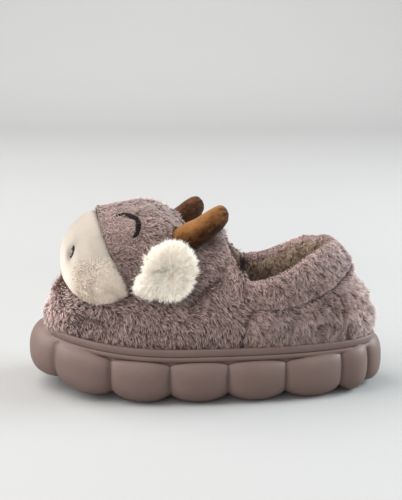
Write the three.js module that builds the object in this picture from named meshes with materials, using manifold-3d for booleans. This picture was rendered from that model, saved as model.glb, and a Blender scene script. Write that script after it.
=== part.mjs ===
// A plush animal slipper for the left foot: a sleepy calf's head on a furry upper, over a
// thick moulded foam sole with fourteen round lobes. Millimetres, +X to the toe, +Y to the
// outer (left) side, +Z up. The origin is under the middle of the sole, on the floor.
import * as THREE from 'three';
import { ParametricGeometry } from 'three/addons/geometries/ParametricGeometry.js';
import { mergeVertices } from 'three/addons/utils/BufferGeometryUtils.js';
import Module from 'manifold-3d';

const wasm = await Module();
wasm.setup();

// Sole: the band is the upright edge that the upper stands in, and the lobes stand out below it.
const BAND_LENGTH = 255.5;
const BALL_WIDTH = 100;
const WAIST_WIDTH = 91;
const HEEL_WIDTH = 86;
const TOE_SWING = 6;
const HEEL_SWING = 4;
const RIM_HEIGHT = 41.5;
const RIM_LIFT = 10;
const BAND_HEIGHT = 9.4;
const LIP_WIDTH = 3;
const CUP_DEPTH = 8.5;
const LOBES = 14;
const TOE_PROUD = 12;
const SIDE_PROUD = 6.5;
const HEEL_PROUD = 6;
const CREASE_DEPTH = 6.5;
const CUSP_RISE = 5.5;
const TREAD_INSET = 8;
const LOBE_TOP_INSET = 2;
const TOE_SPRING = 9.5;
const HEEL_SPRING = 2;
const LUG_GROOVE = 3.5;
const LUG_DEPTH = 2;
const LUG_PITCH = 17;

// Upper: one hollow wall of plush, padding and fleece.
const WALL = 6;
const THROAT_RISE = 82;
const COLLAR_RISE = 75.5;
const COLLAR_WIDTH = 80;
const SWELL = 3;
const GAP = 0.3;
const PAD_THICKNESS = 11.5;
const PAD_PROUD = 2.2;
const PAD_ROOM = 4;
const INSOLE_THICKNESS = 6;
const UPPER_EDGE = LIP_WIDTH + 3 * GAP;
const INSOLE_EDGE = UPPER_EDGE + WALL + GAP;

// Head: stuffed, sewn on the vamp and turned a little to the outer side.
const HEAD_LENGTH = 99;
const HEAD_WIDTH = 86;
const HEAD_CROWN = 41;
const HEAD_DEPTH = 34;
const HEAD_TURN = THREE.MathUtils.degToRad(9);
const HEAD_NOD = THREE.MathUtils.degToRad(8.5);
const SEAM_AHEAD = 12;
const SEAM_LEAN = THREE.MathUtils.degToRad(9);
const EYE_RADIUS = 13.8;
const EYE_TILT = THREE.MathUtils.degToRad(32);
const EYE_THREAD = 1.7;
const NOSTRIL_LENGTH = 11;
const NOSTRIL_WIDTH = 6.5;
const EAR_LENGTH = 50;
const EAR_WIDTH = 43;
const EAR_THICKNESS = 13;
const EAR_LOCKS = 16;
const LOCK_LENGTH = 5;
const LOCK_WIDTH = 10;
const HORN_LENGTH = 42;
const HORN_RADIUS = 9.3;

const SOLE_LENGTH = TOE_PROUD + BAND_LENGTH + HEEL_PROUD;
const TOE_X = SOLE_LENGTH / 2 - TOE_PROUD;
const HEEL_X = TOE_X - BAND_LENGTH;
const MID_X = (TOE_X + HEEL_X) / 2;
const HALF = BAND_LENGTH / 2;
const BALL_X = MID_X + 0.37 * HALF;
const HEAD_X = MID_X + 0.493 * HALF;
const HEAD_Z = RIM_HEIGHT + 0.756 * THROAT_RISE;

// Shares of the half band length, from its middle, where each width is measured.
const WIDTHS = [
  { at: -1, half: HEEL_WIDTH / 2 },
  { at: -0.64, half: HEEL_WIDTH / 2 },
  { at: -0.17, half: WAIST_WIDTH / 2 },
  { at: 0.37, half: BALL_WIDTH / 2 },
  { at: 1, half: BALL_WIDTH / 2 },
];

// Where the creases between the lobes lie on the way from the toe to the heel, as shares of each side.
const CREASES = [
  { at: 0, share: 0 },
  { at: 1 / LOBES, share: 0.119 },
  { at: 3 / LOBES, share: 0.269 },
  { at: 5 / LOBES, share: 0.416 },
  { at: 7 / LOBES, share: 0.559 },
  { at: 9 / LOBES, share: 0.703 },
  { at: 11 / LOBES, share: 0.85 },
  { at: 13 / LOBES, share: 0.93 },
  { at: 1, share: 1 },
];

// The band's steps, from the lobes up: how far out, and how far below the rim as a share of its height.
const BAND_STEPS = [
  { out: -LOBE_TOP_INSET, below: 1 },
  { out: 0.4, below: 0.93 },
  { out: 0.4, below: 0.64 },
  { out: -0.9, below: 0.59 },
  { out: 0, below: 0.54 },
  { out: 0, below: 0.1 },
  { out: -0.9, below: 0 },
];

// Where each rising line of the upper ends. at is the share of the way from toe to heel,
// along is in half band lengths, out in half collar widths, up in throat or collar rises.
const RIDGE = [
  { at: 0, along: 0.78, out: 0, up: 0.57 },
  { at: 0.15, along: 0.66, out: 0, up: 0.64 },
  { at: 0.3, along: 0.45, out: 0, up: 0.735 },
  { at: 0.42, along: 0.18, out: 0, up: 0.865 },
  { at: 0.52, along: -0.086, out: 0, up: 1 },
  { at: 0.545, along: -0.105, out: 0.42, up: 0.925 },
  { at: 0.575, along: -0.14, out: 0.74, up: 0.81 },
];
const TOPLINE = [
  { at: 0.61, along: -0.203, out: 0.94, up: 0.725 },
  { at: 0.66, along: -0.305, out: 1.01, up: 0.735 },
  { at: 0.71, along: -0.407, out: 0.99, up: 0.79 },
  { at: 0.77, along: -0.517, out: 0.89, up: 0.88 },
  { at: 0.84, along: -0.61, out: 0.71, up: 0.955 },
  { at: 0.92, along: -0.705, out: 0.4, up: 0.995 },
  { at: 1, along: -0.767, out: 0, up: 1 },
];
const THROAT_AT = 0.52;
const CUFF_AT = 0.6;
const VAMP_FULLNESS = 2.7;
const HEEL_LEAN = 1.9;

// The seam under the collar, as a share of the wall's height there.
const CUFF_SEAM = [
  { at: 0.6, share: 0.55 },
  { at: 0.7, share: 0.485 },
  { at: 0.78, share: 0.5 },
  { at: 0.86, share: 0.58 },
  { at: 0.93, share: 0.67 },
  { at: 1, share: 0.735 },
];

// The padded collar in section: up in band heights, out in pad thicknesses from its outer face.
const CUFF_SECTION = [
  { up: 0, out: -0.28 },
  { up: 0.05, out: -0.1 },
  { up: 0.3, out: 0 },
  { up: 0.65, out: -0.03 },
  { up: 0.88, out: -0.16 },
  { up: 1, out: -0.45 },
  { up: 0.97, out: -0.75 },
  { up: 0.82, out: -0.97 },
  { up: 0.45, out: -1 },
  { up: 0.08, out: -0.9 },
  { up: 0, out: -0.66 },
];

// Head and muzzle in sections from back to nose, as shares of the head's own sizes.
const HEAD_SECTIONS = [
  { at: -1, crown: 0, side: 0, depth: 0 },
  { at: -0.95, crown: 0.37, side: 0.42, depth: 0.4 },
  { at: -0.85, crown: 0.6, side: 0.66, depth: 0.66 },
  { at: -0.65, crown: 0.86, side: 0.86, depth: 0.88 },
  { at: -0.4, crown: 0.97, side: 0.96, depth: 0.99 },
  { at: -0.13, crown: 1, side: 1, depth: 1 },
  { at: 0.13, crown: 1, side: 1, depth: 1 },
  { at: 0.4, crown: 0.98, side: 0.99, depth: 0.98 },
  { at: 0.7, crown: 0.9, side: 0.92, depth: 0.9 },
  { at: 1, crown: 0, side: 0, depth: 0 },
];
const MUZZLE_SECTIONS = [
  { at: -0.3, crown: 0.3, side: 0.5, depth: 0.6 },
  { at: 0, crown: 0.87, side: 0.98, depth: 1.02 },
  { at: 0.3, crown: 0.9, side: 1.01, depth: 1.06 },
  { at: 0.55, crown: 0.82, side: 0.96, depth: 1.02 },
  { at: 0.75, crown: 0.66, side: 0.82, depth: 0.88 },
  { at: 0.9, crown: 0.47, side: 0.6, depth: 0.66 },
  { at: 0.98, crown: 0.23, side: 0.3, depth: 0.34 },
  { at: 1, crown: 0, side: 0, depth: 0 },
];

// Where each horn grows from and points to, in the head's half length, half width and crown.
// The two aren't sewn quite alike: the outer one stands higher and further back.
const HORN_SEATS = {
  left: {
    root: { back: 0.768, out: 0.628, up: 0.195 },
    tip: { back: 1.515, out: 0.884, up: 0.683 },
  },
  right: {
    root: { back: 0.768, out: 0.628, up: 0.098 },
    tip: { back: 1.434, out: 0.884, up: 0.488 },
  },
};

// Where each ear is sewn to the head, in the same shares, and its turn about an upright line.
const EAR_SEATS = {
  left: { back: 0.505, out: 1.093, up: -0.244, turn: 0.22 },
  right: { back: 0.505, out: 1.01, up: -0.244, turn: 0.06 },
};

// A horn's thickness from its root to its round tip, in horn radii.
const HORN_SECTIONS = [
  { at: 0, thick: 0.9 },
  { at: 0.2, thick: 1 },
  { at: 0.5, thick: 0.95 },
  { at: 0.75, thick: 0.83 },
  { at: 0.9, thick: 0.64 },
  { at: 0.97, thick: 0.4 },
  { at: 1, thick: 0 },
];

const lerp = THREE.MathUtils.lerp;
const smooth = (x, low, high) => THREE.MathUtils.smoothstep(x, low, high);
const bend = (x, power) => Math.sign(x) * Math.abs(x) ** power;

// A smooth curve through one column of a table, without overshoot at its ends.
function read(table, column, at) {
  const last = table.length - 1;
  if (at <= table[0].at) return table[0][column];
  if (at >= table[last].at) return table[last][column];
  const i = table.findIndex((row, n) => n < last && at < table[n + 1].at);
  const slope = (n) => {
    const before = table[Math.max(n - 1, 0)];
    const after = table[Math.min(n + 1, last)];
    return (after[column] - before[column]) / (after.at - before.at);
  };
  const span = table[i + 1].at - table[i].at;
  const t = (at - table[i].at) / span;
  const a = table[i][column];
  const b = table[i + 1][column];
  return (
    a * (1 + 2 * t) * (1 - t) ** 2 +
    b * t * t * (3 - 2 * t) +
    span * (slope(i) * t * (1 - t) ** 2 - slope(i + 1) * t * t * (1 - t))
  );
}

// A closed solid from a mesh whose seams and poles are merged first.
function solid(geometry) {
  const bare = geometry.clone();
  bare.deleteAttribute('normal');
  bare.deleteAttribute('uv');
  const merged = mergeVertices(bare, 1e-3);
  const faces = [];
  const index = merged.index.array;
  for (let i = 0; i < index.length; i += 3) {
    const [a, b, c] = index.slice(i, i + 3);
    if (a !== b && b !== c && c !== a) faces.push(a, b, c);
  }
  const made = new wasm.Manifold(
    new wasm.Mesh({
      numProp: 3,
      vertProperties: merged.attributes.position.array,
      triVerts: new Uint32Array(faces),
    }),
  );
  if (made.volume() > 0) return made;
  for (let i = 0; i < faces.length; i += 3) {
    [faces[i + 1], faces[i + 2]] = [faces[i + 2], faces[i + 1]];
  }
  return new wasm.Manifold(
    new wasm.Mesh({
      numProp: 3,
      vertProperties: merged.attributes.position.array,
      triVerts: new Uint32Array(faces),
    }),
  );
}

// A skin over a list of closed rings. Each ring gives a point for a share of the way round.
function skin(rings, around) {
  const rows = rings.length - 1;
  const point = (u, v, target) => target.copy(rings[Math.round(v * rows)](u % 1));
  return solid(new ParametricGeometry(point, around, rows));
}

// The largest piece of a solid, for cuts that leave crumbs behind.
function largest(made) {
  return made.decompose().sort((a, b) => b.volume() - a.volume())[0];
}

function geometryOf(made) {
  const mesh = made.getMesh();
  const geometry = new THREE.BufferGeometry();
  geometry.setAttribute('position', new THREE.BufferAttribute(mesh.vertProperties, 3));
  geometry.setIndex(new THREE.BufferAttribute(mesh.triVerts, 1));
  geometry.computeVertexNormals();
  return geometry;
}

// The foot's centre line swings to the inner side at toe and heel.
function swing(x) {
  const ahead = Math.max(0, (x - BALL_X) / (TOE_X - BALL_X));
  const behind = Math.max(0, (BALL_X - x) / (BALL_X - HEEL_X));
  return -TOE_SWING * ahead ** 2 - HEEL_SWING * behind ** 2;
}

const rimAt = (x) => {
  const ahead = Math.max(0, (x - 0.1 * HALF) / (TOE_X - 0.1 * HALF));
  return RIM_HEIGHT + RIM_LIFT * ahead ** 2;
};
const treadAt = (x) => {
  const ahead = Math.max(0, (x - 0.3 * HALF) / (TOE_X - 0.3 * HALF));
  const behind = Math.max(0, (x - MID_X + 0.72 * HALF) / (-0.28 * HALF));
  return TOE_SPRING * ahead ** 1.8 + HEEL_SPRING * behind ** 2;
};
const cupAt = (x) => rimAt(x) - CUP_DEPTH;

// The band's outline, sampled so that equal shares are equal lengths of edge.
const OUTLINE_POINTS = 120;
const outline = new THREE.CatmullRomCurve3(
  Array.from({ length: OUTLINE_POINTS }, (_, i) => {
    const angle = (i / OUTLINE_POINTS) * 2 * Math.PI;
    const fullness = 2 / lerp(2.3, 2.55, smooth(Math.cos(angle), -1, 1));
    const x = MID_X + HALF * bend(Math.cos(angle), fullness);
    const half = read(WIDTHS, 'half', (x - MID_X) / HALF);
    return new THREE.Vector3(x, half * bend(Math.sin(angle), fullness) + swing(x), 0);
  }),
  true,
);
outline.arcLengthDivisions = 600;
const EDGE_LENGTH = outline.getLength();
const HEEL_SHARE = outlineShare(HEEL_X);

// The share of the edge at which it reaches the heel, since the two sides differ in length.
function outlineShare(x) {
  let best = 0;
  for (let share = 0.4; share < 0.6; share += 0.001) {
    const here = Math.abs(outline.getPointAt(share).x - x);
    if (here < Math.abs(outline.getPointAt(best).x - x)) best = share;
  }
  return best;
}

// A point of the band at a share of the way round, moved outwards. 0 is the toe, 0.5 the heel.
function bandPoint(share, out) {
  const around = ((share % 1) + 1) % 1;
  const at =
    around < 0.5
      ? around * 2 * HEEL_SHARE
      : HEEL_SHARE + (around - 0.5) * 2 * (1 - HEEL_SHARE);
  const point = outline.getPointAt(at % 1);
  const along = outline.getTangentAt(at % 1);
  return point.add(new THREE.Vector3(along.y, -along.x, 0).multiplyScalar(out));
}

// The share of the edge for an even place in the row of lobes: the toe's lobe is the longest.
function gather(place) {
  const share = read(CREASES, 'share', fromToe(place)) / 2;
  return sideOf(place) > 0 ? share : 1 - share;
}

// A lobe's size at its place in the row: the roundness is 0 in the crease and 1 at the crest.
function lobeAt(place) {
  const phase = Math.min(1, 2 * Math.abs(place * LOBES - Math.round(place * LOBES)));
  const round = (1 - phase ** 2.4) ** (1 / 2.4);
  const share = gather(place);
  const base = bandPoint(share, 0);
  const towards = Math.cos(2 * Math.PI * share);
  const toe = Math.max(0, towards) ** 8;
  const heel = Math.max(0, -towards) ** 8;
  const proud = SIDE_PROUD + (TOE_PROUD - SIDE_PROUD) * toe + (HEEL_PROUD - SIDE_PROUD) * heel;
  const rim = rimAt(base.x);
  const top = rim - BAND_HEIGHT * (1 - 0.7 * Math.max(toe, heel)) - 1.5 * (1 - round);
  const bottom = treadAt(base.x) + CUSP_RISE * phase ** 2.2;
  return { crest: proud - CREASE_DEPTH * (1 - round), rim, top, bottom };
}

// How far the lobe stands out at a height, or how far in it lies beyond its top.
function lobeOut(lobe, z) {
  const centre = (lobe.top + lobe.bottom) / 2;
  const rise = (z - centre) / ((lobe.top - lobe.bottom) / 2);
  if (rise >= 1) return -LOBE_TOP_INSET;
  const inset = rise < 0 ? TREAD_INSET : LOBE_TOP_INSET;
  const full = Math.max(0, 1 - Math.abs(rise) ** 2.6) ** (1 / 2.6);
  return -inset + (lobe.crest + inset) * full;
}

function spine(share, z, reach) {
  const x = MID_X + reach * HALF * Math.cos(2 * Math.PI * share);
  return new THREE.Vector3(x, swing(x), z(x));
}

const up = (point, z) => point.setZ(z);

function soleRings() {
  const edge = (u, out) => bandPoint(gather(u), out);
  const inside = TREAD_INSET + 12;
  const rings = [
    (u) => spine(u, treadAt, 0.72),
    (u) => up(edge(u, -inside), treadAt(edge(u, -inside).x)),
  ];
  const steps = 8;
  for (let i = 0; i < steps; i++) {
    const climb = Math.sin((i / (steps - 1) - 0.5) * Math.PI);
    rings.push((u) => {
      const lobe = lobeAt(u);
      const middle = (lobe.top + lobe.bottom) / 2;
      const z = middle + ((lobe.top - lobe.bottom) / 2) * bend(climb, 0.77);
      const low = Math.min(z, lobe.rim - BAND_HEIGHT);
      return up(edge(u, lobeOut(lobe, low)), low);
    });
  }
  for (const step of BAND_STEPS) {
    rings.push((u) => {
      const lobe = lobeAt(u);
      const z = lobe.rim - step.below * BAND_HEIGHT;
      return up(edge(u, Math.max(step.out, lobeOut(lobe, z))), z);
    });
  }
  rings.push((u) => up(edge(u, -LIP_WIDTH), lobeAt(u).rim));
  rings.push((u) => up(edge(u, -LIP_WIDTH), cupAt(edge(u, 0).x)));
  rings.push((u) => up(edge(u, -INSOLE_EDGE), cupAt(edge(u, -INSOLE_EDGE).x)));
  rings.push((u) => spine(u, cupAt, 0.72));
  return rings;
}

// Zigzag grooves across the flat of the tread leave a row of lugs.
function lugGrooves() {
  const cuts = [];
  const rows = Math.floor((0.62 * BAND_LENGTH) / LUG_PITCH);
  for (let i = 0; i < rows; i++) {
    const middle = MID_X - 0.08 * HALF + (i - (rows - 1) / 2) * LUG_PITCH;
    const half = read(WIDTHS, 'half', (middle - MID_X) / HALF) - TREAD_INSET - 6;
    const wave = new THREE.Shape();
    const edge = [];
    for (let n = 0; n <= 6; n++) {
      const y = lerp(-half, half, n / 6);
      edge.push(new THREE.Vector2(middle + 3 * (n % 2), y));
    }
    wave.setFromPoints([
      ...edge,
      ...edge.map((p) => new THREE.Vector2(p.x + LUG_GROOVE, p.y)).reverse(),
    ]);
    const cut = new THREE.ExtrudeGeometry(wave, {
      depth: LUG_DEPTH + 5,
      bevelEnabled: false,
    });
    cut.translate(0, swing(middle), -5 + treadAt(middle));
    cuts.push(solid(cut));
  }
  return cuts;
}

const ends = [...RIDGE, ...TOPLINE];
const fromToe = (share) => {
  const around = ((share % 1) + 1) % 1;
  return 2 * Math.min(around, 1 - around);
};
const sideOf = (share) => (((share % 1) + 1) % 1 < 0.5 ? 1 : -1);

// Where the wall ends above a share of the edge: on the ridge, or on the topline.
function wallTop(share) {
  const at = fromToe(share);
  const x = MID_X + HALF * read(ends, 'along', at);
  const out = at <= THROAT_AT ? 0 : (COLLAR_WIDTH / 2) * read(ends, 'out', at);
  const rise = lerp(THROAT_RISE, COLLAR_RISE, smooth(at, 0.55, CUFF_AT));
  const z = RIM_HEIGHT + rise * read(ends, 'up', at);
  return new THREE.Vector3(x, sideOf(share) * Math.max(0, out) + swing(x), z);
}

// The upper's outer face before any offset, at a share of the edge and of the height above the rim.
function wallFace(share, height) {
  const top = wallTop(share);
  const foot = rimAt(bandPoint(share, 0).x) + GAP;
  const climb = THREE.MathUtils.clamp(height, 0, 1);
  const round = 1 - (1 - climb ** VAMP_FULLNESS) ** (1 / VAMP_FULLNESS);
  const inwards = lerp(round, climb ** HEEL_LEAN, smooth(fromToe(share), 0.48, CUFF_AT));
  const swell = SWELL * Math.sin(Math.PI * Math.min(1, climb / 0.75) ** 0.8);
  const face = bandPoint(share, -UPPER_EDGE + swell * (1 - inwards));
  return new THREE.Vector3(
    lerp(face.x, top.x, inwards),
    lerp(face.y, top.y, inwards),
    lerp(foot, top.z, height),
  );
}

// The same face moved outwards along its own normal. A height below 0 is in the sole's cup.
function wall(share, height, out) {
  if (height <= 0) {
    const foot = bandPoint(share, -UPPER_EDGE + out);
    return up(foot, rimAt(bandPoint(share, 0).x) + GAP + height * CUP_DEPTH);
  }
  const face = wallFace(share, height);
  if (!out) return face;
  const step = 1e-3;
  const near = Math.min(height, 0.97);
  const along = wallFace(share + step, near).sub(wallFace(share - step, near));
  const rising = wallFace(share, near + step).sub(wallFace(share, near - step));
  const normal = along.cross(rising).normalize();
  return face.addScaledVector(normal, out);
}

// The point on the centre line that both sides of the wall meet in, or close over the opening in.
function ridge(share, out) {
  const middle = wall(share, 1, out).add(wall(1 - share, 1, out)).multiplyScalar(0.5);
  return middle.setY(swing(middle.x));
}

const WALL_STEPS = [-1, 0, 0.12, 0.26, 0.41, 0.56, 0.7, 0.82, 0.915, 0.975, 1];

// The closed form of the upper, moved outwards or inwards, as over a last.
function lastForm(out, sink, around, steps) {
  const rings = [
    (u) => spine(u, (x) => cupAt(x) + GAP - sink, 0.72),
    (u) => wall(u, -1 - sink / CUP_DEPTH, out),
  ];
  for (const height of sink ? steps : steps.slice(1)) {
    const meets = (u) => height >= 1 && fromToe(u) <= THROAT_AT;
    rings.push((u) => (meets(u) ? ridge(u, out) : wall(u, height, out)));
  }
  rings.push((u) => ridge(u, out));
  return skin(rings, around);
}

// The foot's way in: the plan of the wall's inner edge, cut straight down through the roof.
function collarOpening() {
  const edge = [];
  const from = THROAT_AT / 2;
  const count = 36;
  const step = 1e-3;
  for (let i = 0; i < count; i++) {
    const share = lerp(from, 1 - from, i / count);
    const inset = WALL * smooth(fromToe(share), THROAT_AT, CUFF_AT);
    const along = wallTop(share + step).sub(wallTop(share - step)).setZ(0).normalize();
    const point = wallTop(share);
    edge.push(new THREE.Vector2(point.x - inset * along.y, point.y + inset * along.x));
  }
  const cut = new THREE.ExtrudeGeometry(new THREE.Shape(edge), {
    depth: THROAT_RISE + CUP_DEPTH,
    bevelEnabled: false,
  });
  cut.translate(0, 0, RIM_HEIGHT + CUP_DEPTH);
  return solid(cut);
}

const seamAt = (share) => read(CUFF_SEAM, 'share', fromToe(share));

// The room that the collar takes at the top of the wall, from one side of the throat to the other.
function cuffRoom() {
  const corners = [
    { up: 0, out: PAD_PROUD + PAD_ROOM },
    { up: 1.4, out: PAD_PROUD + PAD_ROOM },
    { up: 1.4, out: -PAD_THICKNESS - PAD_ROOM },
    { up: 0, out: -PAD_THICKNESS - PAD_ROOM },
  ];
  return cuffSweep(corners, 0);
}

// A closed section carried along the topline behind the throat. clear draws its ends and foot in.
function cuffSweep(section, clear) {
  const from = CUFF_AT / 2;
  const stations = 32;
  const at = (share, row) => {
    const seam = seamAt(share) + clear / (COLLAR_RISE * 0.9);
    return wall(share, lerp(seam, 1, row.up), row.out);
  };
  const rings = [];
  const shares = Array.from({ length: stations + 1 }, (_, i) => lerp(from, 1 - from, i / stations));
  shares[0] += (2 * clear) / EDGE_LENGTH;
  shares[stations] -= (2 * clear) / EDGE_LENGTH;
  for (const share of shares) {
    rings.push((u) => at(share, section[Math.round(u * section.length) % section.length]));
  }
  const cap = (share) => {
    const middle = new THREE.Vector3();
    section.forEach((row) => middle.addScaledVector(at(share, row), 1 / section.length));
    return () => middle;
  };
  return skin([cap(shares[0]), ...rings, cap(shares[stations])], section.length);
}

function cuff() {
  const section = CUFF_SECTION.map((row) => ({
    up: row.up,
    out: PAD_PROUD + row.out * PAD_THICKNESS,
  }));
  return cuffSweep(section, 3 * GAP);
}

function insoleRings() {
  const edge = INSOLE_EDGE;
  const floor = (x) => cupAt(x) + GAP + 0.1;
  const face = (x) => floor(x) + INSOLE_THICKNESS;
  return [
    (u) => spine(u, floor, 0.72),
    (u) => up(bandPoint(u, -edge), floor(bandPoint(u, -edge).x)),
    (u) => up(bandPoint(u, -edge), face(bandPoint(u, -edge).x) - 1.5),
    (u) => up(bandPoint(u, -edge - 1.5), face(bandPoint(u, -edge - 1.5).x)),
    (u) => up(bandPoint(u, -edge - 14), face(bandPoint(u, -edge - 14).x) + 0.4),
    (u) => spine(u, (x) => face(x) + 0.6, 0.68),
  ];
}

// The head's own frame: its origin inside the head, +X to the nose, turned and nodding.
const headFrame = new THREE.Matrix4()
  .makeTranslation(HEAD_X, swing(HEAD_X), HEAD_Z)
  .multiply(new THREE.Matrix4().makeRotationZ(HEAD_TURN))
  .multiply(new THREE.Matrix4().makeRotationY(HEAD_NOD));
const onHead = (x, y, z) => new THREE.Vector3(x, y, z).applyMatrix4(headFrame);
const nameOf = (side) => (side > 0 ? 'left' : 'right');

// A point of a stuffed form at a share of its length, an angle from its side, and an offset.
function formPoint(sections, at, angle, out) {
  const crown = HEAD_CROWN * read(sections, 'crown', at);
  const side = (HEAD_WIDTH / 2) * read(sections, 'side', at);
  const depth = HEAD_DEPTH * read(sections, 'depth', at);
  const high = Math.sin(angle) > 0 ? crown : depth;
  const fullness = 2 / 2.25;
  const tall = Math.sin(angle) > 0 ? fullness : 2 / 2.7;
  const y = (side + out) * bend(Math.cos(angle), tall);
  const z = (high + out) * bend(Math.sin(angle), tall);
  return onHead((at * HEAD_LENGTH) / 2 + out * at, y, z);
}

function stuffedForm(sections, out, around) {
  const faces = sections.map((row) => (u) => formPoint(sections, row.at, 2 * Math.PI * u, out));
  const first = sections[0].at;
  const last = sections.at(-1).at;
  const pole = (at) => () => onHead((at * HEAD_LENGTH) / 2 + out * at, 0, 0);
  return skin([pole(first), ...faces, pole(last)], around);
}

// The half space in front of the seam between face and muzzle, or behind it.
function seamSide(front) {
  const size = 300;
  const box = new THREE.BoxGeometry(size, size, size);
  box.translate(front ? size / 2 + GAP : -size / 2, 0, 0);
  box.rotateY(SEAM_LEAN);
  box.translate(SEAM_AHEAD, 0, 0);
  box.applyMatrix4(headFrame);
  return solid(box);
}

// A sleeping eye: an arc of embroidery, round side back, thick in the middle and pointed at its ends.
function eye(side, out) {
  const reach = THREE.MathUtils.degToRad(60);
  const middle = THREE.MathUtils.degToRad(38);
  const steps = 10;
  const centre = (turn) => {
    const at = (2 * (4 - EYE_RADIUS * Math.cos(turn + EYE_TILT))) / HEAD_LENGTH;
    const angle = middle + (EYE_RADIUS * Math.sin(turn + EYE_TILT)) / HEAD_CROWN;
    return [at, side > 0 ? angle : Math.PI - angle];
  };
  const rings = [];
  for (let i = 0; i <= steps; i++) {
    const turn = lerp(-reach, reach, i / steps);
    const thick = EYE_THREAD * (0.3 + 0.7 * Math.sin((1 - i / steps) ** 0.7 * Math.PI)) + out;
    const [at, angle] = centre(turn);
    const here = formPoint(HEAD_SECTIONS, at, angle, 0);
    const raised = formPoint(HEAD_SECTIONS, at, angle, 1).sub(here).normalize();
    const [nextAt, nextAngle] = centre(turn + 0.01);
    const along = formPoint(HEAD_SECTIONS, nextAt, nextAngle, 0).sub(here).normalize();
    const across = raised.clone().cross(along).normalize();
    rings.push((u) =>
      here
        .clone()
        .addScaledVector(raised, thick * Math.sin(2 * Math.PI * u))
        .addScaledVector(across, thick * 1.25 * Math.cos(2 * Math.PI * u)),
    );
  }
  const [firstAt, firstAngle] = centre(-reach);
  const [lastAt, lastAngle] = centre(reach);
  const start = formPoint(HEAD_SECTIONS, firstAt, firstAngle, 0);
  const end = formPoint(HEAD_SECTIONS, lastAt, lastAngle, 0);
  return skin([() => start, ...rings, () => end], 8);
}

// A nostril's seat on the muzzle, and its thread, as flattened balls one inside the other.
function nostril(side, length, width, depth) {
  const ball = new THREE.SphereGeometry(1, 16, 10);
  ball.scale(depth, width / 2, length / 2);
  ball.rotateX(-side * 0.5);
  const spot = formPoint(MUZZLE_SECTIONS, 0.86, Math.PI / 2 - side * 0.95, 0);
  ball.applyMatrix4(new THREE.Matrix4().makeRotationZ(HEAD_TURN + side * 0.75));
  ball.translate(spot.x, spot.y, spot.z);
  return solid(ball);
}

// An ear's own frame: +X from its root to its tip, +Y out of its white face, +Z up.
function earFrame(side) {
  const seat = EAR_SEATS[nameOf(side)];
  const root = onHead(
    (-seat.back * HEAD_LENGTH) / 2,
    (side * seat.out * HEAD_WIDTH) / 2,
    seat.up * HEAD_CROWN,
  );
  const facing = new THREE.Euler(side * -0.08, 0.02, Math.PI + seat.turn);
  const turned = new THREE.Matrix4().makeRotationFromEuler(facing);
  return new THREE.Matrix4().makeTranslation(root.x, root.y, root.z).multiply(turned);
}

// A round pad with a pinch at its root and locks of long pile round its edge.
function earForm(side) {
  const frame = earFrame(side);
  const outline = (u) => {
    const angle = 2 * Math.PI * u;
    const low = Math.sin(angle) < 0 ? 0.08 * Math.cos(angle) ** 2 : 0;
    return [
      (EAR_LENGTH / 2) * (bend(Math.cos(angle), 0.85) + low * -1),
      (EAR_WIDTH / 2) * bend(Math.sin(angle), 0.85),
    ];
  };
  const half = EAR_THICKNESS / 2;
  const shares = [0, 0.45, 0.8, 0.95, 1, 0.95, 0.8, 0.45, 0];
  const rings = shares.map((share, i) => (u) => {
    const [x, z] = outline(u);
    const lift = half * Math.sqrt(Math.max(0, 1 - share ** 2.6)) * (i < 4 ? -1 : 1);
    const cup = 5 * ((x / EAR_LENGTH) ** 2 + (z / EAR_WIDTH) ** 2) * share;
    const across = side > 0 ? -1 : 1;
    return new THREE.Vector3(x * share, across * (lift + cup), z * share).applyMatrix4(frame);
  });
  let ear = skin(rings, 20);
  for (let i = 0; i < EAR_LOCKS; i++) {
    const [x, z] = outline(i / EAR_LOCKS);
    const lock = new THREE.ConeGeometry(LOCK_WIDTH / 2, 2 * LOCK_LENGTH, 4);
    lock.scale(1, 1, 0.55);
    lock.translate(0, 0.4 * LOCK_LENGTH, 0);
    lock.rotateZ(Math.atan2(z, x) - Math.PI / 2 + 0.18 * Math.sin(5 * i));
    lock.rotateX(Math.PI / 2);
    lock.translate(0.93 * x, 0, 0.93 * z);
    lock.applyMatrix4(frame);
    ear = ear.add(solid(lock));
  }
  return ear;
}

// The pinch is a slot from the root to the middle of the white face.
function earPinch(side) {
  const slot = new THREE.CylinderGeometry(0.6, 2.2, EAR_THICKNESS / 2, 8);
  slot.rotateX(side > 0 ? -Math.PI / 2 : Math.PI / 2);
  slot.scale(5.5, 1, 0.7);
  slot.translate(-EAR_LENGTH / 5, side * -EAR_THICKNESS * 0.42, 1);
  slot.applyMatrix4(earFrame(side));
  return solid(slot);
}

// A stuffed horn that bends up a little, in the head's own frame until its rings are placed.
function horn(side, out) {
  const seat = HORN_SEATS[nameOf(side)];
  const place = (at) =>
    new THREE.Vector3(
      (-at.back * HEAD_LENGTH) / 2,
      (side * at.out * HEAD_WIDTH) / 2,
      at.up * HEAD_CROWN,
    );
  const root = place(seat.root);
  const tip = place(seat.tip);
  const along = tip.clone().sub(root).normalize();
  const across = new THREE.Vector3(0, 1, 0).cross(along).normalize();
  const beside = along.clone().cross(across);
  const rings = HORN_SECTIONS.map((row) => (u) => {
    const angle = 2 * Math.PI * u;
    const thick = row.thick ? HORN_RADIUS * row.thick + out : 0;
    const lift = 3 * Math.sin(Math.PI * row.at);
    const length = HORN_LENGTH * row.at + (row.at === 1 ? out : 0);
    const point = root.clone().addScaledVector(along, length);
    point.addScaledVector(across, thick * Math.cos(angle) - lift);
    point.addScaledVector(beside, thick * Math.sin(angle));
    return point.applyMatrix4(headFrame);
  });
  const start = root.clone().applyMatrix4(headFrame);
  return skin([() => start, ...rings], 14);
}

const group = new THREE.Group();

function piece(name, made, material) {
  const mesh = new THREE.Mesh(geometryOf(made), material);
  mesh.name = name;
  group.add(mesh);
}

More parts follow.
